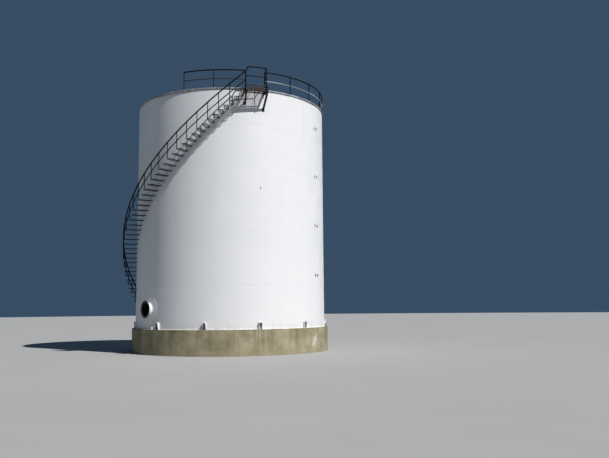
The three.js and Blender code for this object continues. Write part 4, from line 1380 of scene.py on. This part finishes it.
def add_toe_plate():
    """Toe plate on short feet, with slots between them, and a plain one at the right end."""
    toe = Form()
    high = PLATFORM_TOP + TOE_HEIGHT
    slot_low, slot_high = [PLATFORM_TOP + edge for edge in TOE_SLOT]
    inner = PLATFORM_RADIUS - TOE_THICKNESS
    for low, above in ((PLATFORM_TOP, slot_low), (slot_high, high)):
        arc_strip(toe, inner, PLATFORM_RADIUS, PLATFORM_FROM, PLATFORM_TO, low, above)
    for degrees in spread(PLATFORM_FROM, PLATFORM_TO, TOE_SLOTS):
        start = max(PLATFORM_FROM, degrees - TOE_FOOT_ANGLE / 2)
        end = min(PLATFORM_TO, degrees + TOE_FOOT_ANGLE / 2)
        arc_strip(toe, inner, PLATFORM_RADIUS, start, end, slot_low, slot_high)
    toe.box((-TOE_THICKNESS, -inner, PLATFORM_TOP), (0, -CURB_OUTER - 0.013, high), standing_at(PLATFORM_TO))
    make("toe_plate", toe, "primer", ["platform_toe_plate"], FITTING_EDGE)


def add_braces():
    """Diagonal angle iron under each end, on a plate against the shell."""
    for name, degrees, drop in BRACES:
        brace = Form()
        place = standing_at(degrees)
        foot = PLATFORM_BASE - drop
        run = BRACE_TIP - BRACE_ROOT
        length = math.hypot(run, drop)
        for right, depth in ((-BRACE_HALF + BRACE_THICKNESS, BRACE_LEG), (BRACE_HALF, BRACE_THICKNESS)):
            outline = [
                (-BRACE_TIP + depth * length / drop, PLATFORM_BASE), (-BRACE_TIP, PLATFORM_BASE),
                (-BRACE_ROOT, foot), (-BRACE_ROOT, foot + depth * length / run),
            ]
            brace.sections([[(x, y, z) for y, z in outline] for x in (-BRACE_HALF, right)], place)
        plate = (-0.063, -SHELL_RADIUS - 0.01, foot - 0.03), (0.063, -SHELL_RADIUS + 0.004, foot + 0.128)
        brace.box(*plate, place)
        pad = (-0.045, -BRACE_TIP, PLATFORM_BASE - 0.001), (0.028, -BRACE_TIP + 0.1, PLATFORM_BASE)
        brace.box(*pad, place)
        make(f"brace_{name}", brace, "primer", [f"platform_bracket_{name}"], FITTING_EDGE)


def add_platform_rails():
    """Top rail that goes on from the stair's, a middle rail, and three posts."""
    rails = Form()
    left = PLATFORM_FROM + POST_INSET
    right = PLATFORM_TO - RIGHT_POST_INSET
    top = PLATFORM_TOP + PLATFORM_RAIL_HEIGHT
    mid = PLATFORM_TOP + PLATFORM_MID_RAIL_HEIGHT
    rail_end = nosing(left) + STAIR_RAIL_HEIGHT
    level_from = left + math.degrees(PLATFORM_RAIL_RISE_RUN / RAIL_CIRCLE)
    inner_angle = PLATFORM_TO + math.degrees(INNER_POST_ALONG / INNER_POST_CIRCLE)
    post_top = polar(RAIL_CIRCLE, left, rail_end)
    bend = polar(RAIL_CIRCLE, level_from, top)
    path = [polar(RAIL_CIRCLE, PLATFORM_FROM, nosing(PLATFORM_FROM) + STAIR_RAIL_HEIGHT), post_top]
    path += rounded(post_top.lerp(bend, 0.7), bend, polar(RAIL_CIRCLE, level_from + 0.5, top))
    level_run = spread(level_from + 0.5, right - 0.5, 6)[1:]
    path += [polar(RAIL_CIRCLE, degrees, top) for degrees in level_run]
    corner = polar(RAIL_CIRCLE, right, top)
    inner_end = polar(INNER_POST_CIRCLE, inner_angle, top)
    inward = (inner_end - corner).normalized()
    path += [corner.lerp(path[-1], 0.3) + inward * 0.006, corner + inward * 0.03, inner_end]
    rails.pipe(path, TOP_RAIL)
    rails.pipe([polar(RAIL_CIRCLE, degrees, mid) for degrees in spread(left, right, 8)], MID_RAIL)
    rails.pipe([polar(RAIL_CIRCLE, right, mid), polar(INNER_POST_CIRCLE, inner_angle, mid)], MID_RAIL)
    posts = (
        (RAIL_CIRCLE, left, rail_end, STOUT_POST),
        (RAIL_CIRCLE, right, top, MIDDLE_POST),
        (INNER_POST_CIRCLE, inner_angle, top, MIDDLE_POST),
    )
    for radius, degrees, high, size in posts:
        rails.rod(polar(radius, degrees, PLATFORM_BASE), polar(radius, degrees, high), size, 14)
    make("platform_rails", rails, "rail_paint", ["platform_railing"], sharp=50)


# Railings on the rim, each with its name, first angle, posts, their spacing and size, and middle rail
ROOF_RAILINGS = (
    ("left", 25.4, 3, 17.7, THIN_POST, "primer"),
    ("right", 71.9, 6, 17.0, MIDDLE_POST, "rim_paint"),
)
FOOT_PLATE = ((-0.04, -0.033, 0), (0.04, 0.026, 0.008))


def add_roof_rails():
    for name, start, posts, spacing, post_radius, mid_rail_look in ROOF_RAILINGS:
        rails = Form()
        end = start + (posts - 1) * spacing
        spots = spread(start, end, round((end - start) / 1.5))
        for height, radius, finish in ((ROOF_RAIL_HEIGHT, TOP_RAIL, 0), (ROOF_RAIL_HEIGHT / 2, MID_RAIL, 1)):
            path = [polar(ROOF_RAIL_CIRCLE, degrees, CURB_TOP + height) for degrees in spots]
            rails.pipe(path, radius, finish=finish)
        for degrees in spread(start, end, posts - 1):
            foot = polar(ROOF_RAIL_CIRCLE, degrees, CURB_TOP)
            rails.rod(foot, polar(ROOF_RAIL_CIRCLE, degrees, CURB_TOP + ROOF_RAIL_HEIGHT), post_radius, 14)
            rails.box(*FOOT_PLATE, standing_at(degrees, ROOF_RAIL_CIRCLE, CURB_TOP))
        looks = ["rail_paint", mid_rail_look]
        make(f"roof_rails_{name}", rails, "rail_paint", [f"roof_railing_{name}"], sharp=50, looks=looks)


add_platform_floor()
add_toe_plate()
add_braces()
add_platform_rails()
add_roof_rails()
